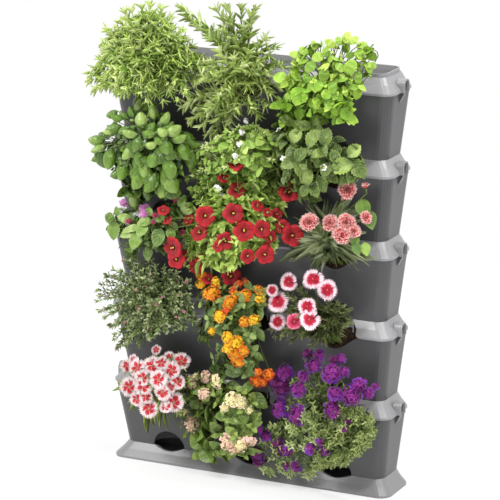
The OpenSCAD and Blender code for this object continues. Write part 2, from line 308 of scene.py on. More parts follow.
def leaf(widths, across, fold, teeth=0.0, dome=0.0, pucker=0.0):
    """widths: the leaf's width at even steps from stalk to tip, as a share of its greatest width."""
    rows, cols = len(widths), 2 * across + 1
    v, uv = [], []
    for i, w in enumerate(widths):
        t = i / (rows - 1)
        for j in range(cols):
            s = (j - across) / across
            edge = 1.0 + (teeth * (1 if i % 2 else -1) if abs(s) == 1 and 0 < i < rows - 1 else 0.0)
            z = (fold * abs(s) - dome * s * s) * w * 0.5
            z += pucker * math.sin(math.pi * t * 5 + abs(s) * 2) * (1 - s * s) * w
            v.append((s * w * 0.5 * edge, t + (teeth * 0.12 if abs(s) == 1 and i % 2 else 0.0), z))
            uv.append((0.5 + 0.5 * s, t))
    return v, uv, grid(rows, cols), []


def fern(pairs, slim):
    """A finely cut leaf: narrow pointed lobes along a thin midrib."""
    v, uv, q, t = [], [], [], []

    def blade(x0, y0, x1, y1, wide):
        k = len(v)
        dx, dy = x1 - x0, y1 - y0
        n = math.hypot(dx, dy)
        ox, oy = -dy / n * wide, dx / n * wide
        for f, w, z in ((0.0, 0.35, 0.0), (0.5, 1.0, 0.03), (0.8, 0.8, 0.03)):
            x, y = x0 + dx * f, y0 + dy * f
            v.extend([(x + ox * w, y + oy * w, z), (x - ox * w, y - oy * w, z)])
            uv.extend([(0.3, y), (0.7, y)])
        v.append((x1, y1, 0.0))
        uv.append((0.5, min(1.0, y1)))
        q.extend([(k, k + 2, k + 3, k + 1), (k + 2, k + 4, k + 5, k + 3)])
        t.append((k + 4, k + 6, k + 5))

    blade(0, 0, 0, 1.0, slim)
    for i in range(pairs):
        y = 0.22 + 0.56 * i / (pairs - 1)
        reach = 0.5 * math.sin(math.pi * (0.25 + 0.6 * i / pairs))
        for side in (-1, 1):
            blade(0, y - 0.05, side * reach, y + 0.26, slim * 1.1)
    return v, uv, q, t


def disc(rings, lobes, lobe_depth, wave, sides, notch=0.0, fold=0.0):
    """A round flower: rings of (radius, height), drawn in and folded back between its lobes."""
    v, uv = [], []
    for r, z in rings:
        share = r / rings[-1][0]
        for i in range(sides):
            a = 2 * math.pi * i / sides
            valley = 0.5 - 0.5 * math.cos(lobes * a)
            cut = notch * share ** 4 * (1 if i % 2 else -1)
            rr = r * (1 - lobe_depth * share ** 2 * valley ** 2) * (1 + cut)
            up = z - fold * share * valley ** 3 + wave * share ** 2 * math.sin(lobes * 3 * a + 1.3)
            v.append(around(rr, a, up))
            uv.append((i / sides, share))
    return v, uv, grid(len(rings), sides, True), []


def floret(petals, cup=0.1, reach=0.95):
    """A small flower of round petals."""
    v, uv, q, t = [(0, 0, 0)], [(0.5, 0.0)], [], []
    wide = math.pi / petals * reach
    for p in range(petals):
        k = len(v)
        for r, da in ((0.62, -wide), (1.0, -wide * 0.5), (1.0, wide * 0.5), (0.62, wide)):
            v.append(around(0.5 * r, 2 * math.pi * p / petals + da, cup * r * r))
            uv.append((0.5 + da / (2 * wide), r))
        q.append((0, k, k + 1, k + 2))
        t.append((0, k + 2, k + 3))
    return v, uv, q, t


def fringed(cols, rows, cup, wave, jag, crown=0.2):
    """One wide petal with a jagged outer edge."""
    v, uv = [], []
    for i in range(rows):
        t = i / (rows - 1)
        for j in range(cols):
            s = 2 * j / (cols - 1) - 1
            w = 0.14 + 0.86 * t ** 0.8
            y = t * (1 - crown * s * s) + (jag * (0.5 if j % 2 else -0.5) if i == rows - 1 else 0.0)
            v.append((s * w * 0.5, y, cup * t * t - wave * math.sin(s * 7) * t))
            uv.append((0.5 + 0.5 * s, t))
    return v, uv, grid(rows, cols), []


def knob(sides=6, tall=0.5):
    """A small rounded bud or flower centre."""
    rows = ((0.0, 0.72), (0.35, 1.0), (0.75, 0.72))
    v = [around(0.5 * r, 2 * math.pi * i / sides, h * tall) for h, r in rows for i in range(sides)] + [(0, 0, tall)]
    uv = [(i / sides, h) for h, _ in rows for i in range(sides)] + [(0.5, 1.0)]
    top = [(2 * sides + i, 2 * sides + (i + 1) % sides, 3 * sides) for i in range(sides)]
    return v, uv, grid(3, sides, True), top


SHAPES = {
    "needle": leaf([0.35, 1, 0.95, 0.7, 0.05], 1, 0.5),
    "small": leaf([0.2, 0.85, 1, 0.75, 0.05], 1, 0.3),
    "ovate": leaf(profile(8, 0.42, 0.85), 2, 0.25, pucker=0.02),
    "basil": leaf(profile(11, 0.44, 0.62), 3, 0.3, 0.0, 0.95, 0.03),
    "toothed": leaf(profile(18), 2, 0.3, 0.075, 0.1, 0.035),
    "berry": leaf(profile(16, 0.54, 0.72), 2, 0.62, 0.11, 0.1, 0.04),
    "round": leaf(profile(15, 0.46, 0.52, 0.3), 2, 0.3, 0.06, 0.3, 0.04),
    "blade": leaf([0.6, 0.9, 1, 0.9, 0.75, 0.5, 0.04], 1, 0.5),
    "fern": fern(2, 0.075),
    "petunia": disc([(0.04, -0.32), (0.08, -0.16), (0.16, -0.06), (0.26, -0.01), (0.36, 0.01), (0.45, 0.0),
                     (0.52, -0.05)], 5, 0.13, 0.035, 40, 0.02, 0.07),
    "trumpet": disc([(0.13, -1.0), (0.2, -0.75), (0.26, -0.35), (0.42, 0.0)], 5, 0.0, 0.0, 10),
    "five": floret(5), "four": floret(4, 0.16), "wide": floret(5, 0.12, 1.02),
    "fringed": fringed(13, 5, 0.12, 0.035, 0.24), "ruffle": fringed(9, 4, 0.2, 0.12, 0.16, 0.1),
    "knob": knob(), "dome": knob(9, 0.32),
}


# ---------------------------------------------------------------- growing

def unit(a):
    a = np.asarray(a, float)
    return a / np.maximum(np.linalg.norm(a, axis=-1, keepdims=True), 1e-9)


def turned(angle, a, b):
    return math.cos(angle) * a + math.sin(angle) * b


def seen(x, z, y):
    """A point that the camera sees at x, z on the sight plane, set at depth y. Millimetres."""
    near = SIGHT_PLANE - y
    return np.array((x + ACROSS * near, y, z + UPWARD * near))


def curve(a, b, c, n=9):
    t = np.linspace(0, 1, n)[:, None]
    return (1 - t) ** 2 * a + 2 * t * (1 - t) * b + t ** 2 * c


def encloses(outline, q):
    """Whether a place lies inside an outline."""
    found, last = False, outline[-1]
    for p in outline:
        if (p[1] > q[1]) != (last[1] > q[1]) and q[0] < (last[0] - p[0]) * (q[1] - p[1]) / (last[1] - p[1]) + p[0]:
            found = not found
        last = p
    return found


class Growth:
    """Gathers the leaves, petals and stems of one plant into one mesh. Millimetres, in the row frame."""

    def __init__(self, node):
        self.node, self.bark = node, BARK.get(node, GREEN_STEM)
        self.tier, column, seed, *self.reach = PLANTS[node]
        self.rim = rim(self.tier)
        self.rng = np.random.default_rng(seed)
        self.base = np.array((COLUMN * column, ROOT_Y, self.rim - ROOT_DOWN))
        self.mats, self.chunks, self.wait = [], [], {}

    def rand(self, low, high):
        return float(self.rng.uniform(low, high))

    def mat(self, material):
        if material not in self.mats:
            self.mats.append(material)
        return self.mats.index(material)

    def put(self, shape, material, at, along, face, length, width, tone=None, droop=0.0, sway=0.0):
        """One leaf or petal: it starts at a point, runs along a direction and faces another."""
        if tone is None:
            tone = self.rand(0, 1)
        self.wait.setdefault((shape, self.mat(material)), []).append(
            (*at, *along, *face, length, width, tone, droop, sway))

    def settle(self):
        """Sets every waiting leaf and petal in its place."""
        for (shape, mat), rows in self.wait.items():
            v, uv, quads, tris = (np.array(part) for part in SHAPES[shape])
            r = np.array(rows)
            at, y, face = r[:, 0:3], unit(r[:, 3:6]), r[:, 6:9]
            z = unit(face - (face * y).sum(1, keepdims=True) * y)
            x = np.cross(y, z)
            length, width, tone, droop, sway = (r[:, k][:, None] for k in range(9, 14))
            px = v[None, :, 0] * width + sway * length * v[None, :, 1] ** 2
            py = v[None, :, 1] * length
            pz = v[None, :, 2] * length - droop * length * v[None, :, 1] ** 2
            world = at[:, None] + sum(p[..., None] * axis[:, None] for p, axis in ((px, x), (py, y), (pz, z)))
            n, k = len(r), len(v)
            shift = (np.arange(n) * k)[:, None, None]
            self.chunks.append((
                world.reshape(-1, 3), np.tile(uv, (n, 1)), np.repeat(tone[:, 0], k),
                (quads.reshape(1, -1, 4) + shift).reshape(-1, 4).astype(int),
                (tris.reshape(1, -1, 3) + shift).reshape(-1, 3).astype(int), mat))

    def stem(self, path, r0, r1, material=None, sides=5, tone=0.5):
        """A round stem along a path, from one radius to the other."""
        path = np.asarray(path, float)
        n = len(path)
        run = unit(np.gradient(path, axis=0))
        side = unit(np.cross(run, STEM_UP))
        other = np.cross(run, side)
        a = np.arange(sides) * 2 * math.pi / sides
        r = np.linspace(r0, r1, n)[:, None, None]
        ring = np.cos(a)[None, :, None] * side[:, None] + np.sin(a)[None, :, None] * other[:, None]
        uv = np.stack(np.meshgrid(a / FULL_TURN, np.linspace(0, 1, n)), -1).reshape(-1, 2)
        self.chunks.append(((path[:, None] + r * ring).reshape(-1, 3), uv, np.full(n * sides, tone),
                            np.array(grid(n, sides, True)), np.zeros((0, 3), int), self.mat(material or GREEN_STEM)))

    def root(self):
        return self.base + self.rng.uniform(-1, 1, 3) * ROOT_SPREAD

    def route(self, tip, n=9, lift=0.35):
        """A stem's path from the pocket, out over the rim, to its tip."""
        a = self.root()
        d = tip - a
        far = float(np.linalg.norm(d))
        up = 0.5 if d[2] > 0 else 0.18
        b = a + np.array((d[0] * 0.25, -max(30.0, abs(d[1]) * 0.75), far * up * lift / 0.35))
        return curve(a, b, tip, n)

    def sprig(self, tip, leaf_mat, shape, length, width, count, start, spread, r0, crown, turn=80.0, droop=0.15,
              taper=0.6, lift=0.35):
        """A stem with pairs of leaves up its outer part and a crown of leaves at its tip."""
        path = self.route(tip, lift=lift)
        self.stem(path, r0, r0 * 0.45, self.bark)
        run = unit(np.gradient(path, axis=0))
        spin = self.rand(0, 360)
        crown_turn = self.rand(*ANY_TURN)
        for k in range(count):
            t = start + (1 - start) * k / max(1, count - 1)
            s = t * (len(path) - 1)
            i = min(int(s), len(path) - 2)
            at = path[i] + (path[i + 1] - path[i]) * (s - i)
            y = run[i]
            side = unit(np.cross(y, SPRIG_UP))
            up = np.cross(side, y)
            size = (1 - (1 - taper) * abs(t - 0.55) * 2)
            for w in range(2):
                a = math.radians(spin + k * turn + w * 180.0 + self.rand(-18, 18))
                open_ = math.radians(spread * (1.1 - 0.55 * (t - start) / (1 - start)) + self.rand(-10, 10))
                along = turned(open_, y, turned(a, side, up)) + LEAN
                face = y * 0.8 + TO_LIGHT + self.rng.normal(0, 0.12, 3)
                self.put(shape, leaf_mat, at, along, face, length * size * self.rand(0.8, 1.15),
                         width * size * self.rand(0.85, 1.1), None, droop + self.rand(-0.08, 0.12),
                         self.rand(-0.1, 0.1))
        for w in range(crown):
            out = turned(w * FULL_TURN / crown + crown_turn, side, up)
            along = run[-1] + out * self.rand(0.35, 0.9)
            self.put(shape, leaf_mat, path[-1] - run[-1] * 2, along, run[-1] + CROWN_LIGHT,
                     length * taper * self.rand(0.8, 1.2), width * 0.9, self.rand(0.5, 1), droop * 0.5)

    def shell(self, x, z, share):
        """Depth of the plant's rounded front at a place, or of a layer inside it."""
        left, right, down, up, forward = self.reach
        dx = abs((x - self.base[0]) / (left if x < self.base[0] else right))
        dz = abs((z - self.rim) / (down if z < self.rim else up))
        r = (dx ** 3 + dz ** 3) ** (1 / 3)
        return WALL - forward * share * math.sqrt(max(0.09, 1.0 - (r / 1.03) ** 2))

    def place(self, x, z, share, room=8.0):
        """The point of a layer of the plant that the camera sees at a place on the sight plane, with room round it
        inside the part's own box."""
        y = SIGHT_PLANE
        for _ in range(DEPTH_STEPS):
            p = seen(x, z, y)
            y = max(0.5 * y + 0.5 * self.shell(p[0], p[2], share), LOW[1] + room)
        return np.clip(seen(x, z, y), LOW + room, HIGH - room)

    def out(self, p):
        """The way that the plant's rounded front faces near a point."""
        left, right, down, up, forward = self.reach
        v = p - np.array((self.base[0], WALL, self.rim + 0.2 * (up - down)))
        return unit(v / np.array((0.5 * (left + right), forward, 0.5 * (up + down))) ** 1.5)

    def inside(self, outline, count):
        """Places spread over an outline, evenly and at random."""
        p = np.array(outline, float)
        low, high = p.min(0), p.max(0)
        found = []
        for _ in range(count):
            best, far = None, -1.0
            for _ in range(TRIES):
                q = self.rng.uniform(low, high)
                while not encloses(p, q):
                    q = self.rng.uniform(low, high)
                d = min((float(np.hypot(*(q - f))) for f in found), default=1e9)
                if d > far:
                    best, far = q, d
            found.append(best)
        return found

    def finish(self):
        """The plant's mesh, in place of its solid, on the body of its own tier."""
        self.settle()
        v, uv, tone = (np.concatenate([c[k] for c in self.chunks]) for k in range(3))
        shift = np.cumsum([0] + [len(c[0]) for c in self.chunks[:-1]])
        quads, tris = (np.concatenate([c[k] + s for c, s in zip(self.chunks, shift)]) for k in (3, 4))
        mats = np.concatenate([np.full(len(c[k]), c[5]) for k in (3, 4) for c in self.chunks])
        wide, below, above = OPENING
        opening = (abs(v[:, 0] - self.base[0]) < wide) & (v[:, 2] > self.rim - below) & (v[:, 2] < self.rim + above)
        behind = (v[:, 1] > CLEAR_FRONT) & ~opening
        v[behind, 1] = CLEAR_FRONT - 0.4 * np.abs(np.sin(v[behind, 0] * 3.1 + v[behind, 2] * 1.7))
        v = np.clip(v, LOW, HIGH)
        name = "plant_" + self.node
        mesh = bpy.data.meshes.new(name)
        mesh.vertices.add(len(v))
        mesh.vertices.foreach_set("co", (v * MM).astype(np.float32).ravel())
        corner = np.concatenate([quads.ravel(), tris.ravel()]).astype(np.int32)
        sizes = np.concatenate([np.full(len(quads), 4), np.full(len(tris), 3)]).astype(np.int32)
        mesh.loops.add(len(corner))
        mesh.polygons.add(len(sizes))
        mesh.loops.foreach_set("vertex_index", corner)
        for key, values in (("loop_start", np.cumsum(sizes) - sizes), ("loop_total", sizes), ("material_index", mats)):
            mesh.polygons.foreach_set(key, values.astype(np.int32))
        mesh.polygons.foreach_set("use_smooth", np.ones(len(sizes), bool))
        layer = mesh.uv_layers.new(name="UVMap")
        layer.data.foreach_set("uv", uv[corner].astype(np.float32).ravel())
        mesh.attributes.new("tone", "FLOAT", "POINT").data.foreach_set("value", tone.astype(np.float32))
        for material in self.mats:
            mesh.materials.append(material)
        mesh.update(calc_edges=True)
        mesh.validate()
        obj = new_object(name, mesh)
        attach(obj, f"tier_{self.tier}")
        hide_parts(self.node)


# ---------------------------------------------------------------- leaves and flowers in their places

def heads(g, places, share=1.0, wild=0.24):
    """Flower heads at listed places: (x, z, width). Gives each one's middle, its width and the way it faces."""
    found = []
    for x, z, wide in places:
        at = g.place(x, z, share * g.rand(0.96, 1.06), wide * 0.3 + 1.0)
        found.append((at, wide, unit(0.75 * FRONT + 0.6 * g.out(at) + g.rng.normal(0, wild, 3))))
    return found


def stalk(g, at, face, r=0.9, material=None):
    """A stem from the pocket that meets a flower from behind."""
    path = g.route(at - face * 3.0, 8)
    path[-2] = path[-1] - face * 9.0
    g.stem(path, r * 1.5, r, material, 5, 0.6)


def across(g, face):
    """Two directions square to the way a flower faces."""
    a = unit(np.cross(face, g.rng.normal(0, 1, 3)))
    return a, np.cross(face, a)


def pink(g, at, wide, face, petal, eye, shape="fringed", layers=((5, 1.0, 0.0),), fill=1.12):
    """A pink or carnation: rings of fringed petals round a small eye."""
    a, b = across(g, face)
    turn = g.rand(*ANY_TURN)
    for count, size, tilt in layers:
        turn += 0.5
        for k in range(count):
            out = turned(turn + 2 * math.pi * k / count + g.rand(-0.08, 0.08), a, b)
            up = turned(tilt, face, -out) + 0.22 * np.cross(face, out)
            g.put(shape, petal, at + face * 0.6, turned(tilt, out, face), up + g.rng.normal(0, 0.09, 3),
                  wide * 0.5 * size * g.rand(0.86, 1.07), wide * 0.5 * size * fill, None, g.rand(0.0, 0.3),
                  g.rand(-0.08, 0.08))
    g.put("knob", eye, at + face * 0.3, a, face, wide * 0.09, wide * 0.09)
    g.put("trumpet", GREEN_STEM, at, a, face, wide * 0.3, wide * 0.3)


def cluster(g, at, wide, face, petal, bud, shape, size, count, flat=0.8, open_=1.25, inner=0.75):
    """A rounded head of many small flowers. Those outside the inner angle get the other colour."""
    a, b = across(g, face)
    middle = at - face * wide * 0.3 * flat
    g.put("dome", petal, middle - face * wide * 0.04, a, face, wide * 0.72, wide * 0.72, 0.3)
    for k in range(count):
        polar = open_ * math.sqrt((k + 0.5) / count) + g.rand(-0.07, 0.07)
        out = turned(polar, flat * face, turned(k * HEAD_TURN + g.rand(-0.25, 0.25), a, b))
        spot = middle + out * wide * 0.46 * g.rand(0.86, 1.08)
        look = unit(out + g.rng.normal(0, 0.2, 3))
        along = unit(np.cross(look, g.rng.normal(0, 1, 3)))
        tone = g.rand(0, 0.48) if polar < inner * open_ else g.rand(0.52, 1)
        big = wide * size * g.rand(0.85, 1.15)
        g.put(shape, petal, spot, along, look, big, big, tone)
        g.put("knob", bud, spot - look * 0.1, along, look, big * 0.14, big * 0.14, tone)
        g.stem([middle - face * wide * 0.1, spot - look * 0.3], 0.5, 0.45, GREEN_STEM, 3)


def petunia_flower(g, at, wide, face, petal, tube):
    """A funnel with its tube behind it and two small knobs in its throat."""
    g.put("petunia", petal, at, across(g, face)[0], face, wide, wide)
    a = across(g, face)[0]
    g.put("trumpet", tube, at - face * wide * 0.06, a, face, wide * 0.62, wide * 0.5)
    g.put("knob", YELLOW_EYE, at - face * wide * 0.12, a, face, wide * 0.1, wide * 0.1, 0.9)
    g.put("knob", YELLOW_EYE, at - face * wide * 0.03 + a * wide * 0.04, a, face, wide * 0.09, wide * 0.07, 0.7)


def clusters(g, places, share, petal, bud, size, count, r=0.9, material=None):
    """Rounded heads at listed places, each on its own stalk."""
    for at, wide, face in heads(g, places, share):
        stalk(g, at, face, r, material)
        cluster(g, at, wide, face, petal, bud, "five", size, count)


def lantana(g, places, share, petal, bud=None, size=0.27, count=34):
    """A lantana's heads. Those up to 24 mm wide have half the count of florets."""
    bud = bud or YELLOW_EYE
    for at, wide, face in heads(g, places, share):
        stalk(g, at - face * wide * 0.3, face, 0.8)
        cluster(g, at, wide, face, petal, bud, "four", size, count if wide > 24 else count // 2, 0.75, 1.3, 0.6)


def tips_and_fill(g, outline, count, shrink=0.95):
    """The outline's own points, a little inside it, then places over the rest."""
    p = np.array(outline, float)
    middle = p.mean(0)
    return [tuple(middle + (q - middle) * shrink) for q in p] + [tuple(q) for q in g.inside(outline, count)]


def bush(g, outline, count, leaf_mat, shape, length, width, leaves, deep=(0.5, 1.0), **more):
    """Leafy sprigs to places all over an outline, at mixed depths."""
    for x, z in tips_and_fill(g, outline, count):
        g.sprig(g.place(x, z, g.rand(*deep), length * 0.6), leaf_mat, shape, length, width, leaves, **more)


def rosettes(g, outline, count, leaf_mat, shape, length, ratio, open_, sizes, per, droop, up, layers, wild,
             spread=(0.75, 1.2), shrink=0.93, holes=(), lighter=0.0):
    """Shoots that end in pairs of leaves, the oldest pair largest and most open, all over the plant's front.
    open_ is how far each pair opens, in degrees, and sizes how large it is. layers are the depths that they lie at, as
    a share of the front's, each with its part of the count. holes are places (x, z, radius) that stay open, and
    lighter is how much the tone rises towards the top."""
    low, high = min(z for _, z in outline), max(z for _, z in outline)
    for share, part in layers:
        front = share > 0.9
        fill = int(count * part)
        spots = tips_and_fill(g, outline, fill, shrink) if front else g.inside(outline, fill)
        for x, z in spots:
            if any(math.hypot(x - hx, z - hz) < near for hx, hz, near in holes):
                continue
            tip = g.place(x, z, share * g.rand(0.82, 1.06), length * 0.45)
            run = unit(np.array((tip[0] - g.base[0], 0.0, tip[2] - g.base[2])))
            axis = unit(g.out(tip) * 0.8 + run * 0.25 + (0, 0, up) + g.rng.normal(0, wild, 3))
            start = g.root()
            far = float(np.linalg.norm(tip - start))
            g.stem(curve(start, tip - axis * far * 0.45, tip), 1.6, 0.8, g.bark)
            side = unit(np.cross(axis, SHOOT_UP))
            other = np.cross(side, axis)
            spin, size = g.rand(0, 180), length * g.rand(*spread)
            # Shoots of the inner layers get darker tones, as painted shade; the tone also rises towards the top by
            # lighter, and varies at random.
            shade = g.rand(-0.22, 0.22) + (0.08 if front else -0.34) + lighter * ((z - low) / (high - low) - 0.5)
            for k, (wide_open, part_size) in enumerate(zip(open_, sizes)):
                at = tip - axis * size * 0.3 * (len(sizes) - 1 - k)
                for w in range(per):
                    a = math.radians(spin + 90 * k + w * 360.0 / per + g.rand(-16, 16))
                    tilt = math.radians(wide_open + g.rand(-14, 14))
                    along = turned(tilt, axis, turned(a, side, other)) - SAG
                    big = size * part_size * g.rand(0.85, 1.12)
                    width = big * ratio * g.rand(0.9, 1.1)
                    tone = min(1.0, max(0.0, 0.42 + 0.16 * k + shade + g.rand(-0.15, 0.15)))
                    g.put(shape, leaf_mat, at, along, axis + SHOOT_LIGHT, big, width, tone,
                          droop * g.rand(0.5, 1.4), g.rand(-0.12, 0.12))


def lantana_leaves(g, outline, count, leaf_mat, ratio):
    rosettes(g, outline, count, leaf_mat, "toothed", 34, ratio, (100, 76, 50), (1.0, 0.75, 0.45), 2, 0.35, 0.25,
             ((0.95, 1.0), (0.65, 0.5)), 0.35, (0.7, 1.2))


def blades(g, places, each, leaf_mat, wide, rise, depth=(0.4, 1.0), short=(0.75, 1.0)):
    """Long narrow leaves that spread from the pocket to listed places."""
    for x, z in places:
        for _ in range(each):
            tip = g.place(x + g.rand(-14, 14), z + g.rand(-11, 11), g.rand(*depth))
            start = np.array((g.base[0], -58.0, g.rim + 2.0)) + g.rng.uniform(-11, 11, 3) * (1, 0.3, 0.5)
            d = tip - start
            n = float(np.linalg.norm(d))
            g.put("blade", leaf_mat, start + (0, -5, 0), d + (0, 0, n * rise), (-0.2 * d[0] / n, -0.5, 1.0),
                  n * g.rand(*short), g.rand(0.7, 1.2) * wide, None, rise * g.rand(0.7, 1.3), g.rand(-0.14, 0.14))


def listed(g, rows, leaf_mat, shape, shades, share=1.0, droop=0.3, plump=1.0, wild=0.16):
    """Large leaves at listed places: the middle's x and z, length, width and the way they point as seen, in degrees."""
    for x, z, length, width, turn in rows:
        way = turned(math.radians(turn), SIDEWAYS, UPRIGHT)
        foot = g.place(x, z, share * g.rand(0.98, 1.06), length * 0.34) - way * length * 0.5
        g.stem(g.route(foot), 1.3, 0.9, g.bark)
        g.put(shape, leaf_mat, foot, way + 0.12 * FRONT, FRONT + (0, 0, 0.4) + g.rng.normal(0, wild, 3),
              length, width * plump, g.rand(*shades), droop * g.rand(0.6, 1.3), g.rand(-0.06, 0.06))


# One grey plastic in three copies: the lids and tray are painted lighter than the boxes, as painted light where light
# falls on their upward slopes.
BOX = plastic("box_plastic", "4f4f51", 0.22)
LID = plastic("lid_plastic", "929294", 0.25)
TRAY = plastic("tray_plastic", "88888a", 0.3)
SOIL = soil_stuff()
GREEN_STEM = stem_stuff("green_stem", "465c26", "849c48")
WOOD_STEM = stem_stuff("woody_stem", "3e341e", "6e683e")
RED_STEM = stem_stuff("red_stem", "563422", "78783c")
YELLOW_EYE = stem_stuff("yellow_eye", "d6a828", "fadc5a")
GREEN_EYE = stem_stuff("green_eye", "5a6e32", "aab45a")
PALE_EYE = stem_stuff("pale_eye", "dcd6aa", "fffadc")
BARK = {"rosemary": WOOD_STEM, "cuphea": WOOD_STEM, "orange_lantana": RED_STEM, "pastel_lantana": RED_STEM}


# ---------------------------------------------------------------- the fifteen plants

def savory(g):
    leaf_mat = leaf_stuff("savory_leaf", "a0cc54", "e4fa90", "f6fcc8", 0.2, foot=0.25)
    outline = [(-300, 846), (-296, 866), (-284, 888), (-262, 906), (-270, 922), (-243, 926), (-222, 940), (-204, 958),
               (-188, 968), (-163, 968), (-150, 945), (-128, 928), (-95, 912), (-75, 885), (-64, 862), (-92, 843),
               (-116, 828), (-150, 822), (-184, 822), (-210, 826), (-240, 814), (-262, 820), (-290, 826)]
    bush(g, outline, 92, leaf_mat, "needle", 29, 2.3, 7, (0.55, 1.0), spread=58, start=0.45, r0=0.9, droop=0.03,
         taper=0.9, crown=6)
    loose = [(-334, 836), (-322, 824), (-309, 808), (-294, 812), (-262, 806), (-249, 802), (-232, 806), (-194, 796),
             (-208, 812), (-162, 798), (-176, 812), (-130, 802), (-112, 822), (-56, 864), (-60, 880), (-312, 850),
             (-288, 900), (-280, 926), (-258, 930), (-238, 948), (-228, 968), (-206, 976), (-187, 984), (-163, 980),
             (-143, 962), (-240, 962), (-250, 942), (-120, 938), (-214, 946)]
    for x, z in loose:
        tip = np.clip(seen(x, z, g.rand(-146, -112)), LOW + 16, HIGH - 16)
        g.sprig(tip, leaf_mat, "needle", 26, 2.4, 5, start=0.68, spread=60, turn=90, droop=0.06, r0=0.8, taper=0.8,
                crown=5)


def rosemary(g):
    leaf_mat = leaf_stuff("rosemary_leaf", "7e9c40", "c6e074", "f0f8c4", 0.25, foot=0.25)
    low_leaf = leaf_stuff("rosemary_low_leaf", "98b454", "e0f68e", "f6facc", 0.25, foot=0.25)
    tall = [(-112, 985), (-100, 972), (-67, 949), (-36, 987), (15, 998), (44, 1004), (22, 956), (66, 940), (84, 925),
            (-22, 944), (96, 893), (-13, 972), (34, 980), (-49, 930), (-13, 1000), (4, 930), (70, 905), (-80, 955)]
    low = [(75, 835), (64, 812), (47, 793), (36, 800), (-50, 746), (-36, 752), (-66, 760), (-90, 770), (-108, 792),
           (-85, 812), (-10, 770), (5, 800), (-60, 850), (-30, 820), (-36, 775), (-50, 790), (-20, 790), (90, 850),
           (10, 845), (-8, 830), (30, 840), (60, 850), (-70, 780), (20, 880), (-45, 880), (40, 870), (-30, 900),
           (0, 890), (50, 890), (-10, 870), (-60, 870), (30, 905), (70, 870), (-30, 860), (-96, 800), (-76, 792),
           (-44, 805)]
    for x, z in tall:
        g.sprig(g.place(x, z, g.rand(0.5, 1.0), 14.0), leaf_mat, "needle", 30, 2.2, 10, start=0.34, spread=56, turn=78,
                droop=0.03, r0=1.8, taper=0.85, lift=0.4, crown=4)
    for x, z in low:
        g.sprig(g.place(x, z, g.rand(0.5, 1.05), 14.0), low_leaf, "needle", 30, 1.9, 8, start=0.5, spread=58,
                droop=0.04, r0=1.4, taper=0.85, lift=0.2, crown=5)


def lemon_balm(g):
    leaf_mat = leaf_stuff("balm_leaf", "48741a", "82b42a", "bed85c", 0.4, 0.5, 4.5, border=0.3)
    young = leaf_stuff("balm_young", "54801e", "80a62c", "b8cc5c", 0.3, 0.5, 4.5, border=0.3)
    outline = [(128, 915), (140, 930), (168, 943), (187, 950), (205, 952), (244, 962), (275, 952), (292, 945),
               (290, 925), (298, 902), (275, 872), (258, 848), (255, 815), (240, 797), (220, 800), (200, 788),
               (165, 770), (150, 755), (104, 772), (94, 790), (94, 815), (114, 838), (118, 857), (112, 866), (128, 898)]
    upper = [p for p in outline if p[1] > 850]
    lower = [p for p in outline if p[1] < 880]
    holes = ((232, 938, 17), (262, 932, 17), (246, 928, 13), (196, 925, 8))
    rosettes(g, upper, 20, young, "round", 22, 0.92, (100, 70, 40), (1.0, 0.6, 0.34), 2, 0.3, 0.5, spread=(0.5, 1.2),
             wild=0.8, lighter=0.2, shrink=0.9, layers=((0.98, 1.0), (0.7, 0.8)), holes=holes)
    rosettes(g, lower, 20, leaf_mat, "toothed", 29, 0.8, (100, 74, 42), (1.0, 0.7, 0.4), 2, 0.3, 0.5, spread=(0.6, 1.1),
             wild=0.6, lighter=0.3, layers=((0.98, 1.0), (0.7, 0.7)), shrink=0.92)
    listed(g, [(133, 916, 25, 17, 160), (151, 924, 21, 17, 140), (172, 937, 19, 16, 120), (207, 944, 25, 17, 150),
               (225, 952, 17, 14, 100), (242, 961, 25, 19, 70), (258, 957, 21, 17, 40), (275, 949, 21, 17, 20),
               (288, 939, 21, 19, 330), (295, 927, 17, 16, 300), (271, 929, 21, 25, 290), (291, 903, 21, 15, 300),
               (180, 914, 25, 21, 200), (198, 926, 21, 18, 100), (163, 892, 25, 21, 220), (228, 898, 21, 21, 330),
               (250, 901, 31, 27, 60), (194, 878, 25, 25, 270), (267, 881, 25, 16, 265), (193, 895, 20, 18, 60),
               (148, 903, 21, 16, 190), (249, 924, 18, 16, 200), (232, 875, 21, 18, 30)],
           young, "round", (0.1, 0.95), plump=0.94, wild=0.5)
    listed(g, [(140, 832, 39, 35, 250), (115, 811, 25, 21, 200), (205, 824, 27, 21, 330), (242, 806, 32, 23, 320),
               (212, 855, 25, 21, 300), (181, 856, 23, 19, 240), (125, 853, 23, 19, 200), (134, 870, 21, 17, 150),
               (177, 821, 25, 21, 300), (98, 817, 25, 15, 190), (106, 782, 30, 21, 230), (181, 790, 25, 21, 330),
               (157, 868, 21, 19, 100), (220, 839, 21, 13, 340), (120, 832, 21, 18, 170), (198, 840, 23, 20, 80),
               (258, 861, 18, 12, 0), (168, 804, 25, 19, 210), (142, 798, 25, 21, 280)],
           leaf_mat, "toothed", (0.1, 0.85), wild=0.45)


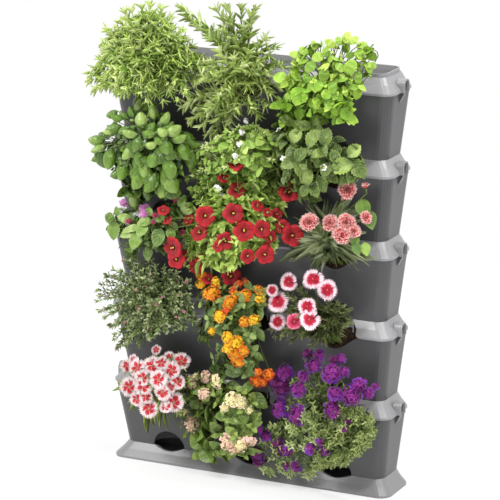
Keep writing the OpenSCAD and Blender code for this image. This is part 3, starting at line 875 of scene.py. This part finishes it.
def basil(g):
    leaf_mat = leaf_stuff("basil_leaf", "2a4612", "5e8226", "aac26c", 0.16, 0.24, 4.0, foot=0.9)
    outline = [(-220, 788), (-262, 758), (-286, 733), (-322, 700), (-312, 676), (-290, 648), (-254, 626), (-244, 600),
               (-242, 584), (-204, 586), (-148, 608), (-122, 628), (-108, 672), (-94, 695), (-84, 718), (-102, 734),
               (-122, 746), (-148, 760), (-160, 770), (-184, 784)]
    rosettes(g, outline, 24, leaf_mat, "basil", 34, 0.62, (104, 80, 44), (1.0, 0.74, 0.4), 2, 0.4, 0.5,
             spread=(0.75, 1.15), wild=0.3, layers=((0.84, 1.0), (0.55, 0.8)), shrink=0.9)
    front = [(-314, 701, 35, 21, 175), (-310, 680, 33, 16, 205), (-283, 662, 45, 25, 262), (-257, 641, 43, 23, 262),
             (-265, 752, 25, 16, 150), (-275, 728, 31, 18, 190), (-233, 765, 25, 14, 110), (-222, 781, 29, 16, 80),
             (-250, 726, 25, 16, 200), (-213, 750, 31, 23, 95), (-235, 721, 33, 16, 165), (-195, 727, 27, 18, 10),
             (-185, 770, 33, 18, 100), (-161, 760, 31, 18, 60), (-140, 739, 35, 23, 30), (-160, 731, 25, 18, 150),
             (-221, 700, 35, 27, 240), (-190, 702, 25, 16, 20), (-155, 699, 30, 25, 280), (-126, 724, 29, 18, 20),
             (-95, 719, 37, 16, 350), (-115, 696, 37, 25, 290), (-213, 670, 31, 18, 290), (-247, 679, 29, 18, 230),
             (-184, 669, 31, 23, 250), (-228, 628, 45, 29, 250), (-192, 623, 45, 25, 235), (-156, 652, 43, 29, 280),
             (-141, 625, 37, 29, 300), (-166, 609, 33, 23, 260), (-228, 583, 37, 23, 270), (-240, 603, 33, 21, 250),
             (-205, 647, 31, 21, 265), (-288, 722, 21, 14, 200), (-170, 713, 21, 14, 330)]
    # Copies of the front leaves just behind them, with darker tones as painted shade.
    behind = [(x + g.rand(-15, 15), z + g.rand(-15, 15), length, width * 1.1, turn + g.rand(-70, 70))
              for x, z, length, width, turn in front]
    listed(g, behind, leaf_mat, "basil", (0.1, 0.6), 0.84, 0.35, 1.1)
    listed(g, front, leaf_mat, "basil", (0.3, 1.0), plump=1.12)


def alyssum(g):
    leaf_mat = leaf_stuff("alyssum_leaf", "8eaa52", "cee480", "f0f6c4", 0.2)
    broad = leaf_stuff("alyssum_broad", "54782a", "8eb246", "bace70", 0.3)
    white = petal_stuff("white_petal", "d6de78", "fafcf4", "fffffc", 0.2, 0.6, 0.1)
    outline = [(-96, 700), (-60, 715), (-40, 730), (-20, 745), (10, 758), (40, 765), (70, 755), (92, 740), (94, 700),
               (60, 688), (36, 690), (10, 694), (-30, 668), (-56, 630), (-62, 600), (-80, 592), (-90, 615), (-96, 645),
               (-100, 668)]
    bush(g, outline, 62, leaf_mat, "small", 17, 5.5, 11, spread=58, turn=75, start=0.4, r0=1.0, crown=4)
    rosettes(g, outline, 13, broad, "round", 24, 0.8, (84, 50), (1.0, 0.6), 2, 0.25, 0.3, layers=((0.98, 1.0),),
             wild=0.5)
    low = [(-104, 640), (-96, 620), (-112, 600), (-84, 606), (-100, 586), (-70, 640), (-58, 600), (-90, 660),
           (-44, 646), (-50, 665), (-74, 622), (-30, 668), (36, 660), (60, 650)]
    for x, z in low:
        g.sprig(g.place(x, z, g.rand(0.85, 1.0)), broad, "toothed", 22, 13, 5, start=0.6, spread=66, turn=90, r0=1.0,
                crown=4)
    clusters(g, [(24, 774, 13), (15, 747, 13), (9, 723, 13), (0, 696, 12), (-36, 624, 17), (-30, 612, 13),
                 (-44, 630, 12)], 1.25, white, YELLOW_EYE, 0.5, 6, 0.6)


def strawberry(g):
    leaf_mat = leaf_stuff("strawberry_leaf", "283e16", "4e6a26", "a0b460", 0.6, 0.42, 5.0, border=0.7, foot=0.85)
    white = petal_stuff("strawberry_petal", "dce082", "fcfcf6", "fffffc", 0.2, 0.6, 0.1)
    places = [(120, 745), (98, 757), (108, 730), (150, 738), (180, 742), (202, 738), (165, 715), (190, 718), (245, 712),
              (222, 694), (262, 702), (150, 702), (130, 690), (105, 690), (140, 668), (165, 660), (185, 668),
              (100, 668), (225, 722), (205, 705), (240, 696), (112, 712), (135, 722), (128, 758), (200, 684), (85, 700),
              (78, 728), (172, 758), (150, 760), (120, 655), (150, 645), (172, 640), (92, 648), (262, 725), (120, 672),
              (78, 672)]
    listed(g, [(97, 745, 39, 29, 250), (134, 752, 35, 25, 70), (173, 748, 45, 29, 60), (199, 755, 39, 29, 80),
               (116, 779, 37, 21, 340), (151, 772, 37, 21, 180), (186, 786, 31, 20, 20), (121, 696, 39, 25, 200),
               (145, 684, 39, 25, 290), (143, 713, 35, 23, 60), (182, 717, 35, 21, 20), (234, 698, 47, 33, 200),
               (268, 702, 43, 31, 320), (259, 733, 35, 25, 40), (70, 668, 49, 30, 20), (163, 647, 41, 25, 250),
               (162, 668, 35, 21, 80), (189, 661, 35, 21, 300), (199, 690, 33, 21, 240), (216, 716, 31, 21, 110),
               (50, 645, 33, 23, 230)], leaf_mat, "berry", (0.25, 1.0), 1.06, 0.25, 1.05)
    for share in (0.9, 0.62):
        for x, z in places:
            tip = g.place(x + g.rand(-5, 5), z + g.rand(-5, 5), share * g.rand(0.86, 1.07), 14.0)
            path = g.route(tip)
            g.stem(path, 1.4, 0.8)
            normal = unit(g.out(tip) + g.rng.normal(0, 0.42, 3) + (0, 0, 0.3))
            side = unit(np.cross(normal, unit(path[-1] - path[-3])))
            flat = np.cross(side, normal)
            # Leaves of the inner layer get darker tones, as painted shade.
            size, spin, shade = g.rand(24, 32), g.rand(-1.2, 1.2), g.rand(0.0, 0.6) * (1.0 if share > 0.8 else 0.4)
            for a in (-1.5, 0.0, 1.5):
                way = turned(a + spin, flat, side)
                along = way - (0, 0, 0.3) + 0.25 * normal
                face = normal + 0.35 * way * (1 if a else 0) + (0.1, -0.2, 0.3) + g.rng.normal(0, 0.12, 3)
                g.put("berry", leaf_mat, tip + way * size * 0.1, along, face, size * (1.0 if a == 0 else 0.86),
                      size * 0.64, shade + g.rand(-0.1, 0.25), g.rand(0.2, 0.5))
    for at, wide, face in heads(g, [(108, 703, 17), (193, 693, 14), (97, 762, 14)], 1.08):
        stalk(g, at, face, 0.7)
        g.put("wide", white, at, across(g, face)[0], face, wide, wide, 0.8)
        g.put("knob", YELLOW_EYE, at, across(g, face)[0], face, wide * 0.3, wide * 0.3)


def pink_geranium(g):
    leaf_mat = leaf_stuff("geranium_leaf", "325016", "6e9032", "b4c87e", 0.35, 0.5, 4.5, border=0.5, foot=0.9)
    lilac = petal_stuff("lilac_petal", "963c82", "ce78be", "de96d0", 0.25, 0.7, 0.2)
    wine = petal_stuff("wine_petal", "5a1028", "a82c54", "be466e", 0.25, 0.7, 0.2)
    outline = [(-300, 545), (-285, 550), (-262, 560), (-240, 552), (-200, 562), (-170, 564), (-138, 592), (-112, 592),
               (-104, 572), (-120, 545), (-146, 504), (-175, 494), (-215, 488), (-240, 488), (-260, 502), (-270, 515),
               (-292, 530)]
    rosettes(g, outline, 22, leaf_mat, "toothed", 27, 0.72, (104, 76, 44), (1.0, 0.72, 0.4), 2, 0.4, 0.6,
             spread=(0.6, 1.2), wild=0.5, layers=((0.85, 1.0), (0.6, 0.8)), shrink=0.88)
    listed(g, [(-288, 536, 25, 18, 135), (-278, 512, 39, 24, 265), (-252, 541, 29, 18, 160), (-206, 538, 31, 21, 185),
               (-236, 521, 39, 15, 185), (-241, 509, 39, 17, 190), (-227, 496, 37, 25, 240), (-176, 509, 37, 27, 235),
               (-146, 519, 25, 18, 270), (-196, 560, 21, 16, 90), (-173, 550, 25, 16, 20), (-109, 578, 29, 25, 60),
               (-123, 589, 25, 16, 120), (-141, 536, 25, 16, 330), (-270, 553, 21, 12, 100), (-211, 520, 33, 21, 240)],
           leaf_mat, "toothed", (0.1, 0.95), plump=1.1)
    clusters(g, [(-208, 565, 27), (-205, 556, 20), (-256, 572, 18)], 1.06, lilac, PALE_EYE, 0.42, 13)
    clusters(g, [(-243, 536, 13), (-136, 594, 13), (-182, 555, 12), (-186, 540, 10), (-120, 525, 12)],
             1.06, wine, wine, 0.6, 5, material=RED_STEM)


def red_petunia(g):
    leaf_mat = leaf_stuff("petunia_leaf", "90b24c", "c6e06c", "e8f49c", 0.25, 0.5, foot=0.35)
    red = petal_stuff("petunia_petal", "600510", "900816", "b01220", 0.22, 0.7, 0.4, 15.0, blotch=0.26)
    tube = petal_stuff("petunia_tube", "b42828", "b02228", "a0141e", 0.3, 0.7, 0.2)
    outline = [(-128, 520), (-100, 500), (-128, 482), (-118, 458), (-95, 452), (-60, 465), (-20, 456), (0, 470),
               (20, 490), (50, 508), (88, 520), (104, 560), (106, 610), (96, 640), (60, 662), (20, 668), (-20, 660),
               (-50, 630), (-80, 600), (-104, 575)]
    bush(g, outline, 34, leaf_mat, "ovate", 27, 11, 6, (0.5, 0.84), spread=60, start=0.45, r0=1.4, crown=3)
    rosettes(g, outline, 38, leaf_mat, "ovate", 32, 0.4, (88, 60, 34), (1.0, 0.8, 0.5), 3, 0.25, 0.3,
             layers=((0.84, 1.0), (0.6, 0.5)), spread=(0.7, 1.2), wild=0.5)
    open_ones = [(-68, 566, 42), (-5, 579, 42), (-82, 531, 38), (-23, 519, 36), (19, 545, 44), (2, 628, 34),
                 (119, 638, 42), (59, 553, 36), (106, 563, 30), (128, 548, 44), (66, 500, 38), (28, 493, 30),
                 (-10, 446, 40), (-92, 456, 32), (93, 588, 26), (-108, 556, 26), (78, 540, 26), (-40, 505, 24)]
    for places, share in ((open_ones, 1.08), ([(-144, 490, 46), (-135, 466, 38)], 2.7)):
        for at, wide, face in heads(g, places, share, 0.36):
            face = unit(face + FRONT)
            stalk(g, at - face * wide * 0.5, face)
            petunia_flower(g, at, wide, face, red, tube)
    from_the_side = [(-162, 568, 26, 0.2), (-154, 548, 22, -0.3), (-25, 652, 26, 0.5), (0, 680, 34, 0.1),
                     (50, 601, 26, 0.7), (72, 590, 22, 0.5), (-84, 478, 24, -0.5), (70, 520, 18, 0.4),
                     (-60, 436, 30, 0.1), (-112, 480, 24, 0.6)]
    for x, z, wide, lean in from_the_side:
        at = g.place(x, z, 2.6 if x < -130 or z > 670 else 1.05, wide * 0.5)
        face = unit((math.sin(lean) * 1.1, -0.5, 0.75))
        stalk(g, at - face * wide * 0.6, face)
        petunia_flower(g, at, wide, face, red, tube)


def carnation(g):
    leaf_mat = leaf_stuff("carnation_leaf", "4e5e30", "8e9e66", "d0d8b2", 0.15, 0.5, 1.0)
    broad = leaf_stuff("carnation_broad", "426624", "6e9238", "aac460", 0.25, 0.5)
    petal = petal_stuff("carnation_petal", "be2c32", "dc5254", "f2c8c0", 0.4, 0.84, 0.5, 7.0, sides=0.03, blotch=0.1)
    spots = [(130, 548), (108, 536), (122, 522), (150, 562), (176, 590), (200, 604), (228, 622), (168, 632), (212, 648),
             (186, 560), (215, 540), (240, 545), (150, 535), (100, 484), (138, 500), (168, 480), (182, 484), (198, 500),
             (212, 496), (268, 498), (300, 508), (250, 515), (235, 600), (258, 622), (178, 612), (222, 570), (140, 580),
             (160, 520), (245, 640), (268, 580)]
    blades(g, spots, 9, leaf_mat, 3.3, 0.24, (0.4, 1.04), (0.6, 1.0))
    rings = ((7, 1.0, 0.1), (7, 0.88, 0.4), (6, 0.74, 0.75), (5, 0.58, 1.05), (4, 0.4, 1.35))
    flowers = [(163, 580, 40), (208, 583, 34), (243, 587, 38), (235, 561, 40), (262, 572, 28), (289, 604, 30)]
    for at, wide, face in heads(g, flowers) + heads(g, [(245, 656, 40)], 2.3):
        stalk(g, at, face, 1.0)
        pink(g, at - face * 5, wide, face, petal, petal, "ruffle", rings, 0.95)
    for at, wide, face in heads(g, [(286, 662, 24), (237, 631, 15)], 1.6):
        face = unit(face + (0.1, 0, 1.1))
        stalk(g, at, face, 1.0)
        pink(g, at, wide, face, petal, petal, "ruffle", ((6, 0.9, 1.0), (4, 0.7, 1.3)))
    for x, z, size in [(276, 640, 42), (290, 618, 40), (268, 566, 26), (284, 552, 28), (262, 548, 26)]:
        tip = g.place(x, z, 0.9)
        g.stem(g.route(tip), 1.3, 0.8)
        g.put("ovate", broad, tip, (g.rand(-0.3, 0.6), -0.25, -0.8), (0.25, -0.9, 0.3), size, size * 0.75, None, 0.1)


def cuphea(g):
    leaf_mat = leaf_stuff("cuphea_leaf", "364e18", "7c963e", "e8eec6", 0.2, 0.34)
    rose = petal_stuff("cuphea_petal", "8c3250", "b85c7e", "ce8ca4", 0.3, 0.7, 0.2)
    outline = [(-255, 455), (-230, 463), (-200, 460), (-160, 448), (-130, 440), (-106, 425), (-104, 395), (-100, 368),
               (-84, 346), (-90, 334), (-125, 322), (-158, 314), (-198, 292), (-222, 266), (-256, 264), (-278, 252),
               (-284, 272), (-290, 300), (-302, 322), (-318, 334), (-326, 378), (-302, 412), (-282, 430)]
    bush(g, outline, 112, leaf_mat, "small", 13, 4.2, 17, (0.5, 1.0), spread=58, start=0.34, r0=1.0, taper=0.85,
         crown=3)
    for at, wide, face in heads(g, [(x, z, g.rand(4, 7)) for x, z in g.inside(outline, 20)], 1.0, 0.6):
        g.put("five", rose, at, across(g, face)[0], face, wide, wide)
        stalk(g, at, face, 0.4, WOOD_STEM)


def orange_lantana(g):
    leaf_mat = leaf_stuff("lantana_leaf", "243816", "506a2c", "9eb666", 0.5, 0.4, 5.0, border=0.3)
    deep = petal_stuff("orange_petal", "e26014", "f8b01a", "f6a01e", 0.2, 0.8, 0.2, swap="ec701a")
    gold = petal_stuff("gold_petal", "f0aa14", "fcd022", "fac828", 0.2, 0.8, 0.2, swap="f8a41e")
    ember = petal_stuff("ember_petal", "c83c14", "e86024", "e25424", 0.2, 0.8, 0.2)
    outline = [(-90, 428), (-60, 436), (0, 428), (60, 424), (62, 398), (50, 352), (34, 330), (44, 290), (38, 258),
               (30, 240), (-30, 238), (-52, 262), (-42, 290), (-86, 306), (-90, 332), (-78, 380)]
    lantana_leaves(g, outline, 26, leaf_mat, 0.68)
    lantana(g, [(-53, 408, 36), (-78, 438, 26), (-12, 394, 26), (-2, 408, 22), (-20, 380, 22), (19, 355, 24),
                (-4, 286, 34), (16, 291, 26), (3, 266, 30), (-66, 400, 24), (21, 411, 28), (53, 425, 22)], 1.04, deep)
    lantana(g, [(-80, 424, 26), (-46, 428, 24), (-38, 360, 28), (42, 362, 24), (57, 407, 24), (-20, 316, 26),
                (2, 308, 32), (-18, 294, 24), (-55, 325, 18), (34, 360, 20)], 1.06, gold)
    flame = petal_stuff("flame_petal", "fcb428", "fa8a18", "f87818", 0.2, 0.8, 0.2, swap="f4681e")
    lantana(g, [(46, 229, 30), (73, 246, 28), (64, 229, 22), (52, 250, 20)], 1.5, flame)
    lantana(g, [(19, 438, 20), (6, 432, 18), (-8, 418, 18), (-24, 372, 18)], 1.06, ember, ember)


def pink_dianthus(g):
    leaf_mat = leaf_stuff("dianthus_leaf", "32401e", "687640", "b6be86", 0.15, 0.5, 1.0)
    petal = petal_stuff("pink_petal", "ac0c28", "cc345a", "eed4dc", 0.5, 0.66, 0.6, 9.0, point=0.1, blotch=0.12)
    deep = petal_stuff("deep_pink_petal", "96102e", "ce3c60", "e88298", 0.46, 0.8, 0.24, 9.0)
    spots = [(150, 345), (110, 336), (196, 338), (228, 352), (238, 372), (234, 392), (246, 384), (130, 330), (172, 330),
             (86, 345), (220, 400), (238, 408), (224, 416), (208, 412), (100, 384), (142, 400), (184, 400), (150, 430),
             (200, 370), (120, 420), (214, 378), (160, 350)]
    blades(g, spots, 3, leaf_mat, 3.2, 0.25)
    for x, z in spots + g.inside([(84, 330), (224, 346), (234, 410), (150, 436), (84, 400)], 14):
        g.sprig(g.place(x, z, g.rand(0.6, 1.0)), leaf_mat, "blade", 25, 2.8, 7, start=0.45, spread=50, turn=85,
                droop=0.2, r0=1.0, crown=4)
    flowers = [(119, 450, 40), (172, 463, 42), (203, 444, 42), (95, 405, 44), (159, 405, 38), (164, 378, 42),
               (95, 363, 34), (82, 428, 28), (131, 370, 34)]
    for k, (at, wide, face) in enumerate(heads(g, flowers)):
        stalk(g, at, face)
        pink(g, at, wide, unit(face + FRONT), deep if k == 8 else petal, deep)


def white_dianthus(g):
    leaf_mat = leaf_stuff("white_dianthus_leaf", "889c42", "c4d470", "e4ec9e", 0.15, 0.5, 1.0)
    petal = petal_stuff("white_pink_petal", "dca8a6", "bc1e2c", "dacaca", 0.1, 0.72, 0.7, 5.0, point=0.5, sides=0.1,
                        blotch=0.16)
    blades(g, [(-250, 100), (-218, 76), (-210, 90), (-165, 78), (-160, 92), (-135, 90), (-280, 146), (-262, 130),
               (-190, 110), (-240, 150), (-150, 130), (-200, 160)], 2, leaf_mat, 6.0, 0.28)
    for x, z in g.inside([(-262, 170), (-130, 140), (-110, 200), (-120, 250), (-200, 240), (-250, 220)], 34):
        g.sprig(g.place(x, z, g.rand(0.5, 0.85)), leaf_mat, "blade", 32, 4.2, 6, start=0.4, spread=50, turn=85,
                droop=0.2, r0=1.1, crown=3)
    flowers = [(-226, 222, 44), (-245, 180, 44), (-177, 205, 44), (-147, 228, 40), (-153, 254, 30), (-125, 250, 38),
               (-199, 140, 42), (-143, 159, 44), (-168, 180, 40), (-212, 186, 38), (-191, 232, 40), (-250, 224, 32),
               (-227, 156, 34), (-183, 266, 22), (-134, 205, 36), (-170, 240, 34), (-214, 204, 34), (-160, 150, 30),
               (-236, 238, 26), (-206, 164, 30), (-152, 192, 30)]
    for at, wide, face in heads(g, flowers, 1.02, 0.5):
        stalk(g, at, face)
        pink(g, at, wide, unit(face + FRONT), petal, GREEN_EYE)


def pastel_lantana(g):
    leaf_mat = leaf_stuff("pastel_leaf", "263a16", "58722a", "a4bc5c", 0.5, 0.4, 5.0, border=0.3)
    cream = petal_stuff("cream_petal", "d6ac3c", "f8eca8", "faf0c4", 0.2, 0.7, 0.2, swap="fae2be")
    blush = petal_stuff("blush_petal", "d89650", "f8d6b0", "fadac8", 0.2, 0.7, 0.2, swap="f4c4bc")
    outline = [(-122, 218), (-90, 226), (-40, 224), (-20, 222), (20, 212), (42, 190), (54, 160), (48, 130), (30, 108),
               (24, 66), (-10, 58), (-50, 58), (-80, 54), (-100, 66), (-118, 86), (-130, 112), (-128, 150)]
    lantana_leaves(g, outline, 32, leaf_mat, 0.72)
    lantana(g, [(-48, 216, 34), (-7, 185, 36), (14, 182, 28), (-25, 165, 22), (-120, 137, 24), (-112, 214, 18),
                (-94, 220, 18), (28, 168, 20), (9, 88, 32)], 1.06, cream, size=0.25)
    lantana(g, [(-73, 223, 28), (-103, 202, 26), (-75, 186, 28), (-101, 115, 34), (-18, 93, 38), (30, 98, 32),
                (-6, 78, 26)], 1.06, blush, size=0.25)


def purple_verbena(g):
    leaf_mat = leaf_stuff("verbena_leaf", "1e2c10", "4e6626", "b0bc6c", 0.04, 0.45, border=0.1, foot=0.9)
    purple = petal_stuff("purple_petal", "680c4c", "84187a", "8e289c", 0.34, 0.78, 0.3, swap="5e2498", blotch=0.24)
    dark = petal_stuff("dark_purple_petal", "4c083a", "6e1060", "761a70", 0.3, 0.8, 0.2, swap="561a7a", blotch=0.2)
    outline = [(64, 100), (58, 70), (60, 48), (80, 40), (123, 44), (165, 48), (186, 78), (215, 88), (240, 92),
               (266, 118), (290, 140), (298, 164), (290, 190), (266, 202), (238, 200), (203, 168), (176, 167),
               (159, 180), (123, 150), (90, 140)]
    thick = [(168, 60), (186, 78), (215, 88), (240, 92), (266, 118), (290, 140), (298, 164), (290, 190), (266, 202),
             (238, 200), (203, 168), (186, 150), (180, 100)]
    # Three copies of one leaf: a darker one for the sprigs deep inside, as painted shade, and a lighter one for the
    # sprigs round the outline, as painted light.
    shaded = leaf_stuff("verbena_inner_leaf_painted_shade", "18240c", "36481c", "6e7e3e", 0.04, 0.45, border=0.1)
    young = leaf_stuff("verbena_outer_leaf_painted_light", "425824", "82984a", "ced896", 0.04, 0.45, border=0.1)
    for area, count, material, size, deep, start, r0 in ((thick, 24, shaded, 23, (0.5, 0.8), 0.62, 1.1),
                                                         (thick, 20, leaf_mat, 22, (0.84, 1.02), 0.7, 1.1),
                                                         (outline, 22, young, 21, (0.7, 1.02), 0.74, 1.0)):
        bush(g, area, count, material, "fern", size, size, 4, deep, spread=66, start=start, r0=r0, taper=0.8, crown=4)
    upper = [(200, 236), (168, 290), (140, 240), (110, 220), (225, 255), (185, 262), (150, 205), (90, 225), (245, 238),
             (130, 190), (180, 215)]
    bush(g, upper, 3, leaf_mat, "fern", 21, 20, 4, (0.4, 0.8), spread=60, start=0.5, r0=1.1, taper=0.8, crown=3)
    bright = [(109, 259, 38), (138, 229, 34), (184, 305, 25), (173, 285, 34), (213, 275, 48), (274, 254, 34),
              (312, 258, 18), (296, 241, 24), (257, 231, 48), (220, 234, 32), (216, 195, 46), (93, 178, 42),
              (133, 173, 48), (150, 258, 24), (52, 127, 18), (68, 116, 24), (169, 107, 24), (189, 125, 20),
              (198, 105, 22), (118, 93, 24), (134, 57, 22), (165, 50, 18), (240, 280, 26), (235, 305, 20)]
    deep = [(100, 228, 50), (82, 240, 36), (43, 73, 34), (95, 99, 26), (183, 86, 22), (113, 58, 18), (250, 176, 14),
            (240, 160, 14), (160, 305, 22), (220, 300, 20), (100, 82, 20), (50, 58, 24)]
    for petal, places in ((purple, bright), (dark, deep)):
        for at, wide, face in heads(g, places, 1.05, 0.3):
            stalk(g, at - face * wide * 0.3, face, 0.8)
            count = 30 if wide > 40 else 21 if wide > 30 else 12 if wide > 22 else 6
            cluster(g, at, wide, face, petal, petal, "five", min(0.6, 12.5 / wide), count, 0.7, 1.4, 0.7)


# ---------------------------------------------------------------- the boxes, lids and tray

def dress(node, material, bevel=0.0007):
    """A CAD node keeps its shape and gets its plastic, soft edges and smooth rounds."""
    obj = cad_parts[node]
    obj.data.materials.clear()
    obj.data.materials.append(material)
    for p in obj.data.polygons:
        p.use_smooth = True
    if bevel:
        soften = obj.modifiers.new("soft_edges", "BEVEL")
        soften.width = bevel
        soften.segments = 2
        soften.limit_method = "ANGLE"
        soften.angle_limit = math.radians(32)
        soften.harden_normals = False
        even = obj.modifiers.new("even_normals", "WEIGHTED_NORMAL")
        even.keep_sharp = False


dress("tray", TRAY)
for tier in range(1, 6):
    dress(f"planter_{tier}", BOX)
    dress(f"lid_{tier}", LID)
    dress(f"soil_{tier}", SOIL, 0)

for grow in (white_dianthus, pastel_lantana, purple_verbena, cuphea, orange_lantana, pink_dianthus, pink_geranium,
             red_petunia, carnation, basil, alyssum, strawberry, savory, rosemary, lemon_balm):
    plant = Growth(grow.__name__)
    grow(plant)
    plant.finish()


# ---------------------------------------------------------------- floor, light and camera

WHITE = (1, 1, 1, 1)
FLOOR_HALF, FLOOR_GLOW = 1.7, 0.6     # half its width in metres, and how white it looks to the camera
SKY_GLOW = 0.62                       # the light of the sky, which looks white to the camera
LAMP_AIM = Vector((0, 0, 0.5))
CAMERA_AT = (25.7, 15.4, -0.1)        # degrees to the right, up, and of roll
CAMERA_FAR, CAMERA_AIM = 6.131, Vector((-0.0203, 0.0, 0.4728))
FOCAL, PICTURE, SENSOR = 2980.1, 500, 36.0     # focal length and width of the picture in pixels; sensor in mm


def stage_floor():
    mesh = bpy.data.meshes.new("floor")
    w = FLOOR_HALF
    mesh.from_pydata([(-w, -w, 0), (w, -w, 0), (w, w, 0), (-w, w, 0)], [], [(0, 1, 2, 3)])
    n = new_material("pale_floor")
    n.finish(n.mix(n.noise(2.0), (0.93, 0.93, 0.93, 1), (0.95, 0.95, 0.95, 1)), 0.8, 0.2)
    white = n.new("Emission", {"Color": WHITE, "Strength": 1.0})
    n.show(n.times(n.looked_at(), FLOOR_GLOW), n.shader, white, n.tree.nodes["Material Output"])
    mesh.materials.append(n.owner)
    new_object("floor", mesh)


def sky():
    world = bpy.data.worlds.new("studio")
    bpy.context.scene.world = world
    n = Nodes(world)
    n.tree.nodes.clear()
    soft, white = (n.new("Background", {0: WHITE, 1: strength}) for strength in (SKY_GLOW, 1.0))
    n.show(n.looked_at(), soft, white, n.new("OutputWorld"))


def lamp(name, at, watts, size):
    data = bpy.data.lights.new(name, "AREA")
    data.energy, data.size = watts, size
    obj = new_object(name, data)
    obj.location = at
    obj.rotation_euler = (LAMP_AIM - Vector(at)).to_track_quat("-Z", "Y").to_euler()


def camera():
    right, up, roll = (math.radians(angle) for angle in CAMERA_AT)
    back = Vector((math.sin(right) * math.cos(up), -math.cos(right) * math.cos(up), math.sin(up)))
    data = bpy.data.cameras.new("camera")
    data.sensor_width = SENSOR
    data.lens = FOCAL / PICTURE * SENSOR
    data.clip_end = 40.0
    obj = new_object("camera", data)
    obj.location = CAMERA_AIM + back * CAMERA_FAR
    obj.rotation_mode = "QUATERNION"
    obj.rotation_quaternion = (-back).to_track_quat("-Z", "Y") @ Quaternion((0, 0, 1), roll)
    bpy.context.scene.camera = obj


stage_floor()
sky()
lamp("key", (-1.35, -2.1, 3.2), 104, 1.2)
lamp("side", (2.6, -1.6, 2.4), 30, 0.5)
lamp("edge", (1.2, -0.08, 3.4), 60, 0.25)
camera()
bpy.context.scene.view_settings.view_transform = "Standard"
